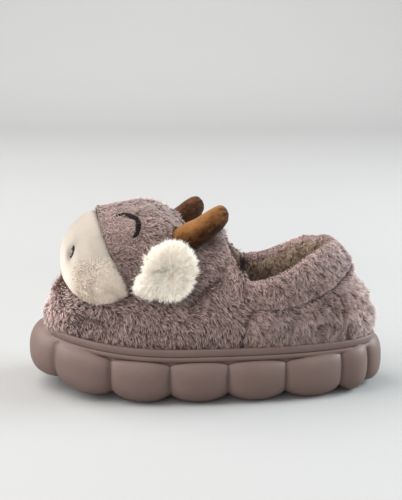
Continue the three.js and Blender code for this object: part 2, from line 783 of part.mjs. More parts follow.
const finish = (color, roughness) =>
  new THREE.MeshStandardMaterial({ color, roughness, metalness: 0 });
const foam = finish(0x84706d, 0.55);
const plush = finish(0xa8958f, 0.95);
const fleece = finish(0x8a7661, 0.98);
const cream = finish(0xe6dccb, 0.95);
const suede = finish(0x8a5b38, 0.85);
const thread = finish(0x231a18, 0.6);

let sole = skin(soleRings(), LOBES * 6);
for (const cut of lugGrooves()) sole = sole.subtract(cut);
piece('sole', largest(sole), foam);
piece('insole', skin(insoleRings(), 32), fleece);

const AROUND = 56;
const clearOfUpper = lastForm(GAP, 0, AROUND, WALL_STEPS);
const hollow = lastForm(-WALL, 3, AROUND, WALL_STEPS);
const upper = lastForm(0, 0, AROUND, WALL_STEPS)
  .subtract(hollow)
  .subtract(collarOpening())
  .subtract(cuffRoom());
piece('upper', largest(upper), plush);
piece('collar', cuff(), plush);

let face = stuffedForm(HEAD_SECTIONS, 0, 26).intersect(seamSide(false)).subtract(clearOfUpper);
let muzzle = stuffedForm(MUZZLE_SECTIONS, 0, 26).intersect(seamSide(true)).subtract(clearOfUpper);
const clearOfFace = stuffedForm(HEAD_SECTIONS, 2 * GAP, 26);
for (const side of [1, -1]) {
  const name = nameOf(side);
  face = face.subtract(eye(side, GAP));
  muzzle = muzzle.subtract(nostril(side, NOSTRIL_LENGTH, NOSTRIL_WIDTH, 4));
  piece(`eye_${name}`, eye(side, 0), thread);
  const clearOfHorn = horn(side, GAP);
  const ear = earForm(side)
    .subtract(clearOfUpper)
    .subtract(clearOfFace)
    .subtract(clearOfHorn);
  piece(`ear_${name}`, largest(ear.subtract(earPinch(side))), cream);
  face = face.subtract(clearOfHorn);
  piece(`horn_${name}`, largest(horn(side, 0).subtract(clearOfUpper)), suede);
}
piece('face', largest(face), plush);
piece('muzzle', largest(muzzle), cream);

export default group;
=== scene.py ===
"""A plush animal slipper for the left foot: a sleepy calf's head on a furry upper over a lobed
foam sole. Metres, +X to the toe, +Y to the outer side, +Z up. Plush is a relaxed skin over each
solid with pile grown on it, so every piece stays in the space that its solid holds."""

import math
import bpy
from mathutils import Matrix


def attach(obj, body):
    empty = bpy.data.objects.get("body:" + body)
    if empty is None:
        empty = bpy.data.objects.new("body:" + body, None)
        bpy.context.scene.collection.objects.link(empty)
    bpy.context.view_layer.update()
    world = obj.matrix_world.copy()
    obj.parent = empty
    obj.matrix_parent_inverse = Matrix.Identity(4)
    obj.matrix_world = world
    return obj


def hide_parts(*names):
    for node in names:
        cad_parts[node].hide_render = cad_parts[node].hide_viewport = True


bl_info = {
    "name": "Plush Calf Slipper",
    "version": (1, 0, 0),
    "blender": (4, 5, 0),
    "location": "3D View > Sidebar > Slipper",
    "description": "Dresses the slipper's solids in foam, plush, fleece, suede and thread",
    "category": "Object",
}

import bmesh
import bpy
import numpy as np
from bpy.props import FloatProperty, FloatVectorProperty, IntProperty, PointerProperty
from mathutils import Matrix, Vector
from mathutils.bvhtree import BVHTree

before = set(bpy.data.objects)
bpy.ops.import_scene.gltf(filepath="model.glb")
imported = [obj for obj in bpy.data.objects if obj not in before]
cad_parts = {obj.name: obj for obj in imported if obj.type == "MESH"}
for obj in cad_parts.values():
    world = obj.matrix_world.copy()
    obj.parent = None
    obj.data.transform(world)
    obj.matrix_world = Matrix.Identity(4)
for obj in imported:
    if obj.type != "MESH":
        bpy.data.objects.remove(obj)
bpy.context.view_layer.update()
MM = 0.001
BODY = "root"


def srgb(red, green, blue):
    """A colour given in 0 to 255 as linear values."""
    return tuple(
        (c / 255 / 12.92) if c / 255 <= 0.04045 else ((c / 255 + 0.055) / 1.055) ** 2.4
        for c in (red, green, blue)
    )


def colour(name, description, red, green, blue):
    given = srgb(red, green, blue)
    limits = {"size": 3, "min": 0, "max": 1}
    return FloatVectorProperty(name=name, description=description, subtype="COLOR", default=given, **limits)


def length(name, description, default_mm):
    kind = {"min": 0, "unit": "LENGTH", "subtype": "DISTANCE"}
    return FloatProperty(name=name, description=description, default=default_mm * MM, **kind)


def number(name, description, default, **kind):
    return FloatProperty(name=name, description=description, default=default, **kind)


def count(name, description, default):
    return IntProperty(name=name, description=description, default=default)


class SlipperSole(bpy.types.PropertyGroup):
    """Sizes of the foam sole."""

    band_length: length("Band length", "Length of the upright edge around the upper", 255.5)
    ball_width: length("Ball width", "Width of the band at the ball of the foot", 100)
    waist_width: length("Waist width", "Width of the band under the arch", 91)
    heel_width: length("Heel width", "Width of the band at the heel", 86)
    rim_height: length("Rim height", "Height of the band's upper edge", 41.5)
    rim_lift: length("Rim lift", "How much higher the rim is at the toe", 10)
    band_height: length("Band height", "Height of the band above the lobes", 9.4)
    side_proud: length("Side lobes", "How far the side lobes stand out", 6.5)
    toe_proud: length("Toe lobe", "How far the toe's lobe stands out", 12)
    heel_proud: length("Heel lobe", "How far the heel's lobe stands out", 6)
    toe_spring: length("Toe spring", "How far the tread lifts at the toe", 9.5)
    lobes: count("Lobes", "Lobes around the sole", 14)
    columns: count("Columns", "Mesh columns in each lobe", 36)


class SlipperPlush(bpy.types.PropertyGroup):
    """Sizes of the plush and the fleece."""

    pile_length: length("Pile", "Length of the plush's fibres", 6.6)
    short_pile: length("Short pile", "Length of the fibres on face and collar", 4.2)
    ear_pile: length("Ear pile", "Length of the white fibres of the ears", 8)
    sheared_pile: length("Sheared pile", "Length of the muzzle's even fibres", 2.2)
    fleece_pile: length("Fleece", "Length of the curls of the lining", 4.2)
    tuft: length("Tuft", "Width of the tufts that the fibres gather in", 3.0)
    fibre_width: length("Fibre width", "Width of a bundle of fibres at its root", 0.92)
    skin_depth: length("Skin depth", "How far the fabric lies below the tips", 2.4)
    upper_fibres: count("Upper", "Bundles on each half of the upper", 31000)
    collar_fibres: count("Collar", "Bundles on the collar", 16000)
    head_fibres: count("Head", "Bundles on face or muzzle", 27000)
    ear_fibres: count("Ear", "Bundles on each ear", 15000)
    lining_fibres: count("Lining", "Curls of the lining", 12000)
    collar_curls: count("Collar lining", "Curls inside the collar", 5000)
    insole_curls: count("Insole", "Curls on the insole", 8000)


class SlipperColours(bpy.types.PropertyGroup):
    """Colours of the materials."""

    foam: colour("Foam", "The sole", 109, 90, 84)
    foam_shade: colour("Foam shade", "The sole's patches of darker foam", 94, 75, 69)
    plush_root: colour("Plush roots", "Roots of the mauve pile", 78, 62, 58)
    plush: colour("Plush", "Middle of the mauve pile", 129, 105, 99)
    plush_tip: colour("Plush tips", "Tips of the mauve pile", 181, 162, 157)
    cream_root: colour("Cream roots", "Roots of the cream pile", 226, 211, 194)
    cream: colour("Cream", "Middle of the cream pile", 237, 224, 209)
    cream_tip: colour("Cream tips", "Tips of the cream pile", 243, 233, 221)
    white_root: colour("White roots", "Roots of the ears' pile", 230, 212, 184)
    white: colour("White", "Middle of the ears' pile", 250, 240, 223)
    white_tip: colour("White tips", "Tips of the ears' pile", 253, 248, 242)
    fleece_root: colour("Fleece roots", "Roots of the lining", 88, 68, 56)
    fleece: colour("Fleece", "Curls of the lining", 150, 128, 110)
    suede: colour("Suede", "The horns", 128, 86, 46)
    # The suede's painted shade, on the horns' undersides and on the far horn.
    suede_dark: colour("Dark suede", "The horns where the nap lies away", 44, 21, 10)
    thread: colour("Thread", "The sleeping eyes", 20, 13, 12)


class SlipperStage(bpy.types.PropertyGroup):
    """Camera, light and floor."""

    distance: length("Camera distance", "From the aim point to the camera", 800)
    elevation: number("Elevation", "The camera's angle above the floor", math.radians(13.5), subtype="ANGLE")
    lens: number("Lens", "Focal length in millimetres", 75.8)
    key: number("Key light", "Power of the overhead light", 52)
    side: number("Side light", "Power of the light at the toe", 13)
    fill: number("Fill light", "Power of the front light", 10)
    back: number("Back light", "Power of the light behind", 42)
    ambient: number("Ambient", "Strength of the room's light", 0.56)


# Shares of the half band length, from its middle, where the edge's half width is measured.
HALF_WIDTHS = (
    (-1, "heel_width"),
    (-0.64, "heel_width"),
    (-0.17, "waist_width"),
    (0.37, "ball_width"),
    (1, "ball_width"),
)

# Where the creases between the lobes lie on each side: their even places, and shares of the side.
CREASES = (
    (0, 0), (1 / 14, 0.119), (3 / 14, 0.269), (5 / 14, 0.416), (7 / 14, 0.559),
    (9 / 14, 0.703), (11 / 14, 0.85), (13 / 14, 0.93), (1, 1),
)

# The band in section, from the lobes up: millimetres out, and the share of its height below the rim.
BAND_STEPS = (
    (-2, 1), (0.1, 0.955), (0.4, 0.92), (0.5, 0.8), (0.4, 0.66), (-0.1, 0.625), (-1.1, 0.6),
    (-1.1, 0.575), (-0.2, 0.545), (0, 0.5), (0, 0.3), (-0.1, 0.1), (-0.5, 0.03), (-1.1, 0),
)


def read(rows, at):
    """A smooth curve through rows of place and value, without overshoot at its ends."""
    place = np.array([row[0] for row in rows], float)
    value = np.array([row[1] for row in rows], float)
    slope = np.empty_like(value)
    slope[1:-1] = (value[2:] - value[:-2]) / (place[2:] - place[:-2])
    slope[0] = (value[1] - value[0]) / (place[1] - place[0])
    slope[-1] = (value[-1] - value[-2]) / (place[-1] - place[-2])
    i = np.clip(np.searchsorted(place, at, side="right") - 1, 0, len(place) - 2)
    span = place[i + 1] - place[i]
    t = np.clip((at - place[i]) / span, 0, 1)
    return (
        value[i] * (1 + 2 * t) * (1 - t) ** 2
        + value[i + 1] * t * t * (3 - 2 * t)
        + span * (slope[i] * t * (1 - t) ** 2 - slope[i + 1] * t * t * (1 - t))
    )


def smooth(x, low, high):
    """0 at low, 1 at high, with soft ends."""
    t = np.clip((x - low) / (high - low), 0, 1)
    return t * t * (3 - 2 * t)


def mix(a, b, t):
    return a + (b - a) * t


def bend(x, power):
    """A power that keeps the sign."""
    return np.sign(x) * np.abs(x) ** power


class SoleForm:
    """The sole's outline and heights, in millimetres, worked out from its sizes."""

    outline_points = 3601
    # How square the outline is at the heel and at the toe: 2 is an ellipse.
    squareness = (2.3, 2.55)
    ball_share = 0.37
    toe_swing = 6
    heel_swing = 4
    crease_depth = 6.5
    cusp_rise = 5.5
    tread_inset = 8
    top_inset = 2
    heel_spring = 2
    lip = 3
    cup_depth = 8.5
    insole_edge = 10.2

    def __init__(self, sizes):
        for name in sizes.__annotations__:
            value = getattr(sizes, name)
            setattr(self, name, value / MM if isinstance(value, float) else value)
        whole = self.toe_proud + self.band_length + self.heel_proud
        self.half = self.band_length / 2
        self.toe_x = whole / 2 - self.toe_proud
        self.heel_x = self.toe_x - self.band_length
        self.mid_x = (self.toe_x + self.heel_x) / 2
        self.ball_x = self.mid_x + self.ball_share * self.half
        angle = np.linspace(0, 2 * np.pi, self.outline_points)
        power = 2 / mix(*self.squareness, smooth(np.cos(angle), -1, 1))
        x = self.mid_x + self.half * bend(np.cos(angle), power)
        y = self.half_width(x) * bend(np.sin(angle), power) + self.swing(x)
        self.edge = np.stack([x, y], 1)
        steps = np.linalg.norm(np.diff(self.edge, axis=0), axis=1)
        self.travel = np.concatenate([[0], np.cumsum(steps)])
        self.travel /= self.travel[-1]
        self.heel_share = self.travel[np.argmin(self.edge[:, 0])]

    def half_width(self, x):
        rows = [(at, getattr(self, name) / 2) for at, name in HALF_WIDTHS]
        return read(rows, (x - self.mid_x) / self.half)

    def swing(self, x):
        ahead = np.maximum(0, (x - self.ball_x) / (self.toe_x - self.ball_x))
        behind = np.maximum(0, (self.ball_x - x) / (self.ball_x - self.heel_x))
        return -self.toe_swing * ahead**2 - self.heel_swing * behind**2

    def rim(self, x):
        start = 0.1 * self.half
        return self.rim_height + self.rim_lift * np.maximum(0, (x - start) / (self.toe_x - start)) ** 2

    def tread(self, x):
        start = 0.3 * self.half
        ahead = np.maximum(0, (x - start) / (self.toe_x - start))
        behind = np.maximum(0, (x - self.mid_x + 0.72 * self.half) / (-0.28 * self.half))
        return self.toe_spring * ahead**1.8 + self.heel_spring * behind**2

    def band(self, share, out):
        """Points of the edge at shares of the way round, moved outwards. 0 is the toe."""
        share = np.mod(share, 1)
        first = share * 2 * self.heel_share
        second = self.heel_share + (share - 0.5) * 2 * (1 - self.heel_share)
        at = np.where(share < 0.5, first, second)
        step = 1e-3
        places = [np.mod(at + shift, 1) for shift in (0, -step, step)]
        here, before, after = (
            np.stack([np.interp(p, self.travel, self.edge[:, k]) for k in (0, 1)], 1)
            for p in places
        )
        along = after - before
        along /= np.linalg.norm(along, axis=1)[:, None]
        normal = np.stack([along[:, 1], -along[:, 0]], 1)
        return here + normal * np.broadcast_to(out, share.shape)[:, None]

    def gather(self, place):
        """The share of the edge for an even place in the row of lobes."""
        from_toe = 2 * np.minimum(place, 1 - place)
        share = read(CREASES, from_toe) / 2
        return np.where(place < 0.5, share, 1 - share)

    def lobe(self, place):
        """Each column's crest, rim, top and bottom: round is 0 in a crease and 1 at a crest."""
        turns = place * self.lobes
        phase = np.minimum(1, 2 * np.abs(turns - np.round(turns)))
        rounded = (1 - phase**2.2) ** (1 / 2)
        share = self.gather(place)
        x = self.band(share, 0)[:, 0]
        towards = np.cos(2 * np.pi * share)
        toe = np.maximum(0, towards) ** 8
        heel = np.maximum(0, -towards) ** 8
        proud = (
            self.side_proud
            + (self.toe_proud - self.side_proud) * toe
            + (self.heel_proud - self.side_proud) * heel
        )
        rim = self.rim(x)
        top = rim - self.band_height * (1 - 0.7 * np.maximum(toe, heel)) - 3.2 * (1 - rounded)
        bottom = self.tread(x) + self.cusp_rise * phase**2.2
        return proud - self.crease_depth * (1 - rounded), rim, top, bottom

    def lobe_out(self, crest, top, bottom, z):
        rise = (z - (top + bottom) / 2) / ((top - bottom) / 2)
        inset = np.where(rise < 0, self.tread_inset, self.top_inset)
        round_edge = np.where(rise < 0, 2.6, 2.3)
        full = np.maximum(0, 1 - np.abs(rise) ** round_edge) ** (1 / round_edge)
        return np.where(rise >= 1, -self.top_inset, -inset + (crest + inset) * full)

    def spine(self, share, height, reach):
        x = self.mid_x + reach * self.half * np.cos(2 * np.pi * share)
        return np.stack([x, self.swing(x), height(x)], 1)

    def rings(self, place):
        share = self.gather(place)
        crest, rim, top, bottom = self.lobe(place)
        inside = self.tread_inset + 12

        def at(out, z):
            flat = self.band(share, out)
            return np.column_stack([flat, np.broadcast_to(z, share.shape)])

        inner = self.band(share, -inside)
        first = self.spine(place, self.tread, 0.72)
        second = np.column_stack([inner, self.tread(inner[:, 0])])
        rings = [mix(first, second, t) for t in np.linspace(0, 1, 6)]
        for climb in np.sin(np.linspace(-0.5, 0.5, 26) * np.pi):
            z = (top + bottom) / 2 + (top - bottom) / 2 * bend(climb, 0.77)
            low = np.minimum(z, rim - self.band_height)
            rings.append(at(self.lobe_out(crest, top, bottom, low), low))
        for out, below in BAND_STEPS:
            z = rim - below * self.band_height
            rings.append(at(np.maximum(out, self.lobe_out(crest, top, bottom, z)), z))
        cup = self.rim(self.band(share, 0)[:, 0]) - self.cup_depth
        floor = self.band(share, -self.insole_edge)
        rings.append(at(-self.lip + 0.6, rim))
        rings.append(at(-self.lip, rim - 0.5))
        rings.append(at(-self.lip, cup))
        rings.append(np.column_stack([floor, self.rim(floor[:, 0]) - self.cup_depth]))
        rings.append(self.spine(place, lambda x: self.rim(x) - self.cup_depth, 0.72))
        return rings



def link(piece):
    bpy.context.scene.collection.objects.link(piece)
    return piece


def mesh_object(name, points, faces):
    """A new smooth mesh object from points in metres."""
    mesh = bpy.data.meshes.new(name)
    mesh.from_pydata(np.asarray(points).tolist(), [], faces)
    mesh.validate()
    mesh.shade_smooth()
    return link(bpy.data.objects.new(name, mesh))


def merge_points(shape):
    bmesh.ops.remove_doubles(shape, verts=shape.verts, dist=2e-6)


def fill_holes(shape):
    bmesh.ops.holes_fill(shape, edges=[e for e in shape.edges if e.is_boundary])


def face_outwards(shape):
    bmesh.ops.recalc_face_normals(shape, faces=shape.faces)


def rework(mesh, *steps):
    """Runs mesh tools on a mesh, one after the other."""
    shape = bmesh.new()
    shape.from_mesh(mesh)
    for step in steps:
        step(shape)
    shape.to_mesh(mesh)
    shape.free()


def ring_skin(name, rings):
    """A closed skin over rings of as many points each, whose ends are merged flat."""
    around = len(rings[0])
    faces = []
    for row in range(len(rings) - 1):
        for i in range(around):
            after = (i + 1) % around
            low, high = row * around, (row + 1) * around
            faces.append((low + i, low + after, high + after, high + i))
    piece = mesh_object(name, np.concatenate(rings) * MM, faces)
    rework(piece.data, merge_points, fill_holes, face_outwards)
    return piece


def settle(piece):
    """Turns what the modifiers make into the piece's own mesh."""
    graph = bpy.context.evaluated_depsgraph_get()
    made = bpy.data.meshes.new_from_object(piece.evaluated_get(graph))
    piece.modifiers.clear()
    old = piece.data
    piece.data = made
    made.name = piece.name
    bpy.data.meshes.remove(old)
    return piece


def skin_over(node, name, voxel_mm, rounds):
    """An even skin over a solid, relaxed as fabric over stuffing, with its points and normals."""
    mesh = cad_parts[node].data.copy()
    mesh.materials.clear()
    rework(mesh, merge_points)
    piece = link(bpy.data.objects.new(name, mesh))
    even = piece.modifiers.new("Even", "REMESH")
    even.mode = "VOXEL"
    even.voxel_size = voxel_mm * MM
    even.use_smooth_shade = True
    relaxed = piece.modifiers.new("Relax", "SMOOTH")
    relaxed.factor = 0.5
    relaxed.iterations = rounds
    settle(piece)
    return piece, places(piece), normals(piece)


def numbers(items, name, size=1, kind=float):
    """One attribute of many mesh items as an array, with a row for each item."""
    values = np.empty(len(items) * size, kind)
    items.foreach_get(name, values)
    return values.reshape(-1, size) if size > 1 else values


def places(piece):
    """The mesh's points in millimetres."""
    return numbers(piece.data.vertices, "co", 3) / MM


def normals(piece):
    return numbers(piece.data.vertices, "normal", 3)


def place(piece, points):
    piece.data.vertices.foreach_set("co", (np.asarray(points) * MM).ravel())
    piece.data.update()


def press(skin, points, out, inset):
    """Brings a skin's points in by millimetres along their normals, and gives the new normals."""
    place(skin, points - out * inset[:, None])
    return normals(skin)


def store(piece, name, values):
    """Keeps one number or one vector for each point of a mesh."""
    values = np.asarray(values, np.float32)
    kind = ("FLOAT_VECTOR", "vector") if values.ndim == 2 else ("FLOAT", "value")
    old = piece.data.attributes.get(name)
    if old:
        piece.data.attributes.remove(old)
    made = piece.data.attributes.new(name, kind[0], "POINT")
    made.data.foreach_set(kind[1], values.ravel())


def face_share(mesh, where):
    """How much of each face's corners a mask of the points covers."""
    corners = numbers(mesh.loops, "vertex_index", kind=int)
    starts = numbers(mesh.polygons, "loop_start", kind=int)
    totals = numbers(mesh.polygons, "loop_total", kind=int)
    return np.add.reduceat(np.asarray(where, float)[corners], starts) / totals


def unit(vectors):
    return vectors / np.maximum(np.linalg.norm(vectors, axis=-1, keepdims=True), 1e-9)


def lay_flat(vectors, out, share=1):
    """Directions turned into the surface, by a share of what stands out of it."""
    return unit(vectors - share * out * (vectors * out).sum(1)[:, None])


def lumps(points, size_mm, seed):
    """Soft uneven numbers from -1 to 1 that change over about size_mm."""
    rng = np.random.default_rng(seed)
    total = np.zeros(len(points))
    waves, limit = 14, 1.6
    for _ in range(waves):
        direction = unit(rng.normal(size=3))
        stretch = 2 * np.pi / (size_mm * rng.uniform(0.7, 1.6))
        total += np.sin(points @ direction * stretch + rng.uniform(0, 2 * np.pi))
    return np.clip(total / math.sqrt(waves), -limit, limit) / limit


def wander(points, size_mm, seed):
    """Soft uneven vectors, from three seeds in a row."""
    return np.stack([lumps(points, size_mm, seed + k) for k in range(3)], 1)


def away_from_path(flat, path):
    """Each point's distance to a path of straight pieces, in the same plane."""
    best = np.full(len(flat), 1e9)
    for start, end in zip(path[:-1], path[1:]):
        start, end = np.array(start, float), np.array(end, float)
        step = end - start
        t = np.clip((flat - start) @ step / (step @ step), 0, 1)
        best = np.minimum(best, np.linalg.norm(flat - start - t[:, None] * step, axis=1))
    return best


def trough(distance, width):
    """1 on a crease's line, falling to 0 at its width."""
    return np.exp(-((distance / (0.5 * width)) ** 2))


def tree_of(piece):
    """A piece's own faces, in metres, to measure distances to."""
    faces = [tuple(face.vertices) for face in piece.data.polygons]
    return BVHTree.FromPolygons(numbers(piece.data.vertices, "co", 3).tolist(), faces)


def near_solid(points, node, far_mm=50):
    """Each point's distance in millimetres to a solid's surface, up to a limit."""
    tree = tree_of(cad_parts[node])
    found = (tree.find_nearest(Vector(p * MM), far_mm * MM)[3] for p in points)
    return np.array([d / MM if d is not None else far_mm for d in found])


def on_surface(piece, line, lift_mm=0.5):
    """A line of points brought just over a piece, and the way out of it at each one."""
    tree = tree_of(piece)
    found = [tree.find_nearest(Vector(spot * MM)) for spot in line]
    out = np.array([towards for _, towards, _, _ in found])
    return np.array([spot for spot, _, _, _ in found]) / MM + lift_mm * out, out


def covered_by(points, out, nodes, reach_mm):
    """True where another solid lies right over the surface."""
    trees = [tree_of(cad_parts[node]) for node in nodes]
    hit = np.zeros(len(points), bool)
    for i, (p, n) in enumerate(zip(points, out)):
        start, towards = Vector(p * MM), Vector(n)
        hit[i] = any(t.ray_cast(start, towards, reach_mm * MM)[0] is not None for t in trees)
    return hit


class Wiring:
    """Adds nodes to a tree from left to right and links them."""

    columns = 12
    spacing = (180, -260)

    def __init__(self, tree):
        self.tree = tree
        self.count = 0

    def add(self, kind, settings=None, inputs=None):
        node = self.tree.nodes.new(kind)
        row, column = divmod(self.count, self.columns)
        node.location = (self.spacing[0] * column, self.spacing[1] * row)
        self.count += 1
        for name, value in (settings or {}).items():
            setattr(node, name, value)
        for name, value in (inputs or {}).items():
            socket = node.inputs[name]
            if isinstance(value, bpy.types.NodeSocket):
                self.tree.links.new(value, socket)
            else:
                socket.default_value = value
        return node

    def math(self, operation, a, b=0.0):
        return self.add("ShaderNodeMath", {"operation": operation}, {0: a, 1: b}).outputs[0]

    def plus(self, a, b):
        return self.math("ADD", a, b)

    def minus(self, a, b):
        return self.math("SUBTRACT", a, b)

    def times(self, a, b):
        return self.math("MULTIPLY", a, b)

    def vector(self, operation, inputs):
        return self.add("ShaderNodeVectorMath", {"operation": operation}, inputs).outputs[0]

    def scaled(self, vector, factor):
        return self.vector("SCALE", {0: vector, "Scale": factor})

    def direction(self, *vectors):
        """The direction of a sum of vectors."""
        total = vectors[0]
        for other in vectors[1:]:
            total = self.vector("ADD", {0: total, 1: other})
        return self.vector("NORMALIZE", {0: total})

    def combine(self, x, y, z):
        return self.add("ShaderNodeCombineXYZ", None, {0: x, 1: y, 2: z}).outputs[0]

    def separate(self, vector):
        return self.add("ShaderNodeSeparateXYZ", None, {0: vector}).outputs

    def noise(self, where, scale, detail):
        inputs = {"Vector": where, "Scale": scale, "Detail": detail}
        return self.add("ShaderNodeTexNoise", {"noise_dimensions": "3D"}, inputs).outputs

    def ramp(self, value, low, high):
        """0 at low and 1 at high."""
        return self.add("ShaderNodeMapRange", None, {0: value, 1: low, 2: high, 3: 0.0, 4: 1.0}).outputs[0]

    def blend(self, kind, factor, a, b):
        settings = {"data_type": "RGBA", "blend_type": kind}
        return self.add("ShaderNodeMix", settings, {0: factor, 6: a, 7: b}).outputs[2]

    def named(self, name, kind="FLOAT"):
        settings = {"data_type": kind}
        return self.add("GeometryNodeInputNamedAttribute", settings, {"Name": name}).outputs["Attribute"]

    def geometry(self, kind, inputs, settings=None):
        return self.add(f"GeometryNode{kind}", settings, inputs).outputs[0]

    def marked(self, geometry, domain, name, kind, value):
        settings = {"data_type": kind, "domain": domain}
        inputs = {"Geometry": geometry, "Name": name, "Value": value}
        return self.geometry("StoreNamedAttribute", inputs, settings)

    def aimed(self, axes, first, second):
        """A rotation that points two axes along two directions."""
        settings = {"primary_axis": axes[0], "secondary_axis": axes[1]}
        inputs = {"Primary Axis": first, "Secondary Axis": second}
        return self.add("FunctionNodeAxesToRotation", settings, inputs).outputs[0]

    def planted(self, points, instance, turned, size):
        inputs = {"Points": points, "Instance": instance, "Rotation": turned, "Scale": size}
        return self.geometry("InstanceOnPoints", inputs)

    def finished(self, instances, material):
        """Instances made into one smooth mesh of a material."""
        real = self.geometry("RealizeInstances", {"Geometry": instances})
        covered = self.geometry("SetMaterial", {"Geometry": real, "Material": material})
        return {"Geometry": self.geometry("SetShadeSmooth", {"Geometry": covered})}


def wire_pile(make, given):
    """Bundles of fibres on a skin: combed, gathered in tufts and a little tousled."""

    def chance(low, high, seed):
        inputs = {2: low, 3: high, "Seed": make.plus(given["Seed"], seed)}
        return make.add("FunctionNodeRandomValue", {"data_type": "FLOAT"}, inputs).outputs[1]

    # One bundle: a narrow leaf that tapers to a point and bows out.
    size = {"Size X": given["Width"], "Size Y": given["Length"], "Vertices X": 2, "Vertices Y": 3}
    sheet = make.geometry("MeshGrid", size)
    corner = make.separate(make.geometry("InputPosition", None))
    along = make.plus(make.math("DIVIDE", corner["Y"], given["Length"]), 0.5)
    narrowing = make.minus(1.0, make.math("POWER", along, 1.6))
    arch = make.times(make.times(along, make.minus(1.0, along)), 4.0)
    shaped = make.combine(
        make.times(corner["X"], narrowing),
        make.times(along, given["Length"]),
        make.times(make.times(arch, given["Bow"]), given["Length"]),
    )
    leaf = make.marked(sheet, "POINT", "along", "FLOAT", along)
    leaf = make.geometry("SetPosition", {"Geometry": leaf, "Position": shaped})
    leaf = make.geometry("MergeByDistance", {"Geometry": leaf, "Distance": 1e-6})

    # Where the bundles stand.
    density = make.times(given["Density"], make.named("pile"))
    inputs = {"Mesh": given["Geometry"], "Density": density, "Seed": given["Seed"]}
    spread = make.geometry("DistributePointsOnFaces", inputs, {"distribute_method": "RANDOM"})
    here = make.geometry("InputPosition", None)
    inputs = {"Vector": here, "Scale": make.math("DIVIDE", 1.0, given["Tuft"])}
    cells = make.add("ShaderNodeTexVoronoi", {"voronoi_dimensions": "3D", "feature": "F1"}, inputs).outputs

    # Which way each one points.
    to_middle = make.vector("SUBTRACT", {0: cells["Position"], 1: here})
    pull = make.scaled(to_middle, make.math("DIVIDE", given["Gather"], given["Tuft"]))
    curl = make.vector("SUBTRACT", {0: make.noise(here, 120.0, 1.0)["Color"], 1: (0.5, 0.5, 0.5)})
    swirl = make.scaled(curl, given["Swirl"])
    inputs = {0: (-1, -1, -1), 1: (1, 1, 1), "Seed": given["Seed"]}
    stray = make.add("FunctionNodeRandomValue", {"data_type": "FLOAT_VECTOR"}, inputs).outputs[0]
    tousle = make.scaled(stray, given["Tousle"])
    out = make.named("out", "FLOAT_VECTOR")
    rise = make.scaled(out, given["Stand"])
    lay = make.scaled(make.named("comb", "FLOAT_VECTOR"), make.minus(1.0, given["Stand"]))
    direction = make.direction(lay, rise, pull, swirl, tousle)
    facing = make.vector("ADD", {0: out, 1: make.scaled(stray, 0.35)})
    turned = make.aimed("YZ", direction, facing)
    size = make.combine(chance(0.65, 1.3, 3), make.times(chance(0.6, 1.15, 5), make.named("nap")), 1.0)
    grown = make.planted(spread, leaf, turned, size)

    # What the colours read: each bundle's tint, its tuft's shade (a random tone per tuft, plus painted shade
    # towards the tuft's edge, where valleys between tufts fall dark) and the way out of the cloth.
    own = make.times(make.separate(cells["Color"])[0], 0.7)
    crown = make.times(make.minus(1.0, make.times(cells["Distance"], 1.5)), 0.36)
    grown = make.marked(grown, "INSTANCE", "tint", "FLOAT", chance(0, 1, 7))
    grown = make.marked(grown, "INSTANCE", "tuft", "FLOAT", make.plus(own, crown))
    grown = make.marked(grown, "INSTANCE", "cloth", "FLOAT_VECTOR", out)
    return make.finished(grown, given["Material"])


def wire_stitches(make, given):
    """A rounded strand laid across the line at each point."""
    inputs = {"Resolution": 6, "Start": (-1, 0, 0), "Middle": (0, 0, 1.0), "End": (1, 0, 0)}
    bridge = make.geometry("CurveQuadraticBezier", inputs)
    inputs = {"Resolution": 6, "Radius": 0.35}
    round_line = make.geometry("CurvePrimitiveCircle", inputs, {"mode": "RADIUS"})
    inputs = {"Curve": bridge, "Profile Curve": round_line, "Fill Caps": True}
    strand = make.geometry("CurveToMesh", inputs)
    turned = make.aimed("XZ", make.named("across", "FLOAT_VECTOR"), make.named("out", "FLOAT_VECTOR"))
    half = make.named("half")
    size = make.combine(half, given["Strand"], make.times(half, given["Arch"]))
    return make.finished(make.planted(given["Geometry"], strand, turned, size), given["Material"])


def wire_colour(make, given):
    """A fibre's colour from root to tip, uneven over the fabric and from tuft to tuft, times the painted
    light and shade it is given.
    """
    low = make.ramp(given["Along"], 0.0, 0.55)
    high = make.ramp(given["Along"], 0.45, 1.0)
    lower = make.blend("MIX", low, given["Root"], given["Middle"])
    fibre = make.blend("MIX", high, lower, given["Tip"])
    patch = make.times(make.noise(given["Place"], 60.0, 3.0)["Fac"], 0.25)
    own = make.plus(make.times(given["Tint"], 0.35), make.times(given["Tuft"], 0.45))
    swing = make.times(make.minus(make.plus(patch, own), 0.5), given["Uneven"])
    strength = make.times(given["Shade"], make.plus(swing, 1.0))
    grey = make.combine(strength, strength, strength)
    return {"Color": make.blend("MULTIPLY", 1.0, fibre, grey)}


def wire_nap(make, given):
    """Fine relief of short fibres or foam skin, as a height."""
    fine, coarse = (make.noise(given["Place"], given[name], 3.0)["Fac"] for name in ("Grain", "Coarse"))
    rest = make.minus(1.0, given["Share"])
    return {"Height": make.plus(make.times(fine, rest), make.times(coarse, given["Share"]))}


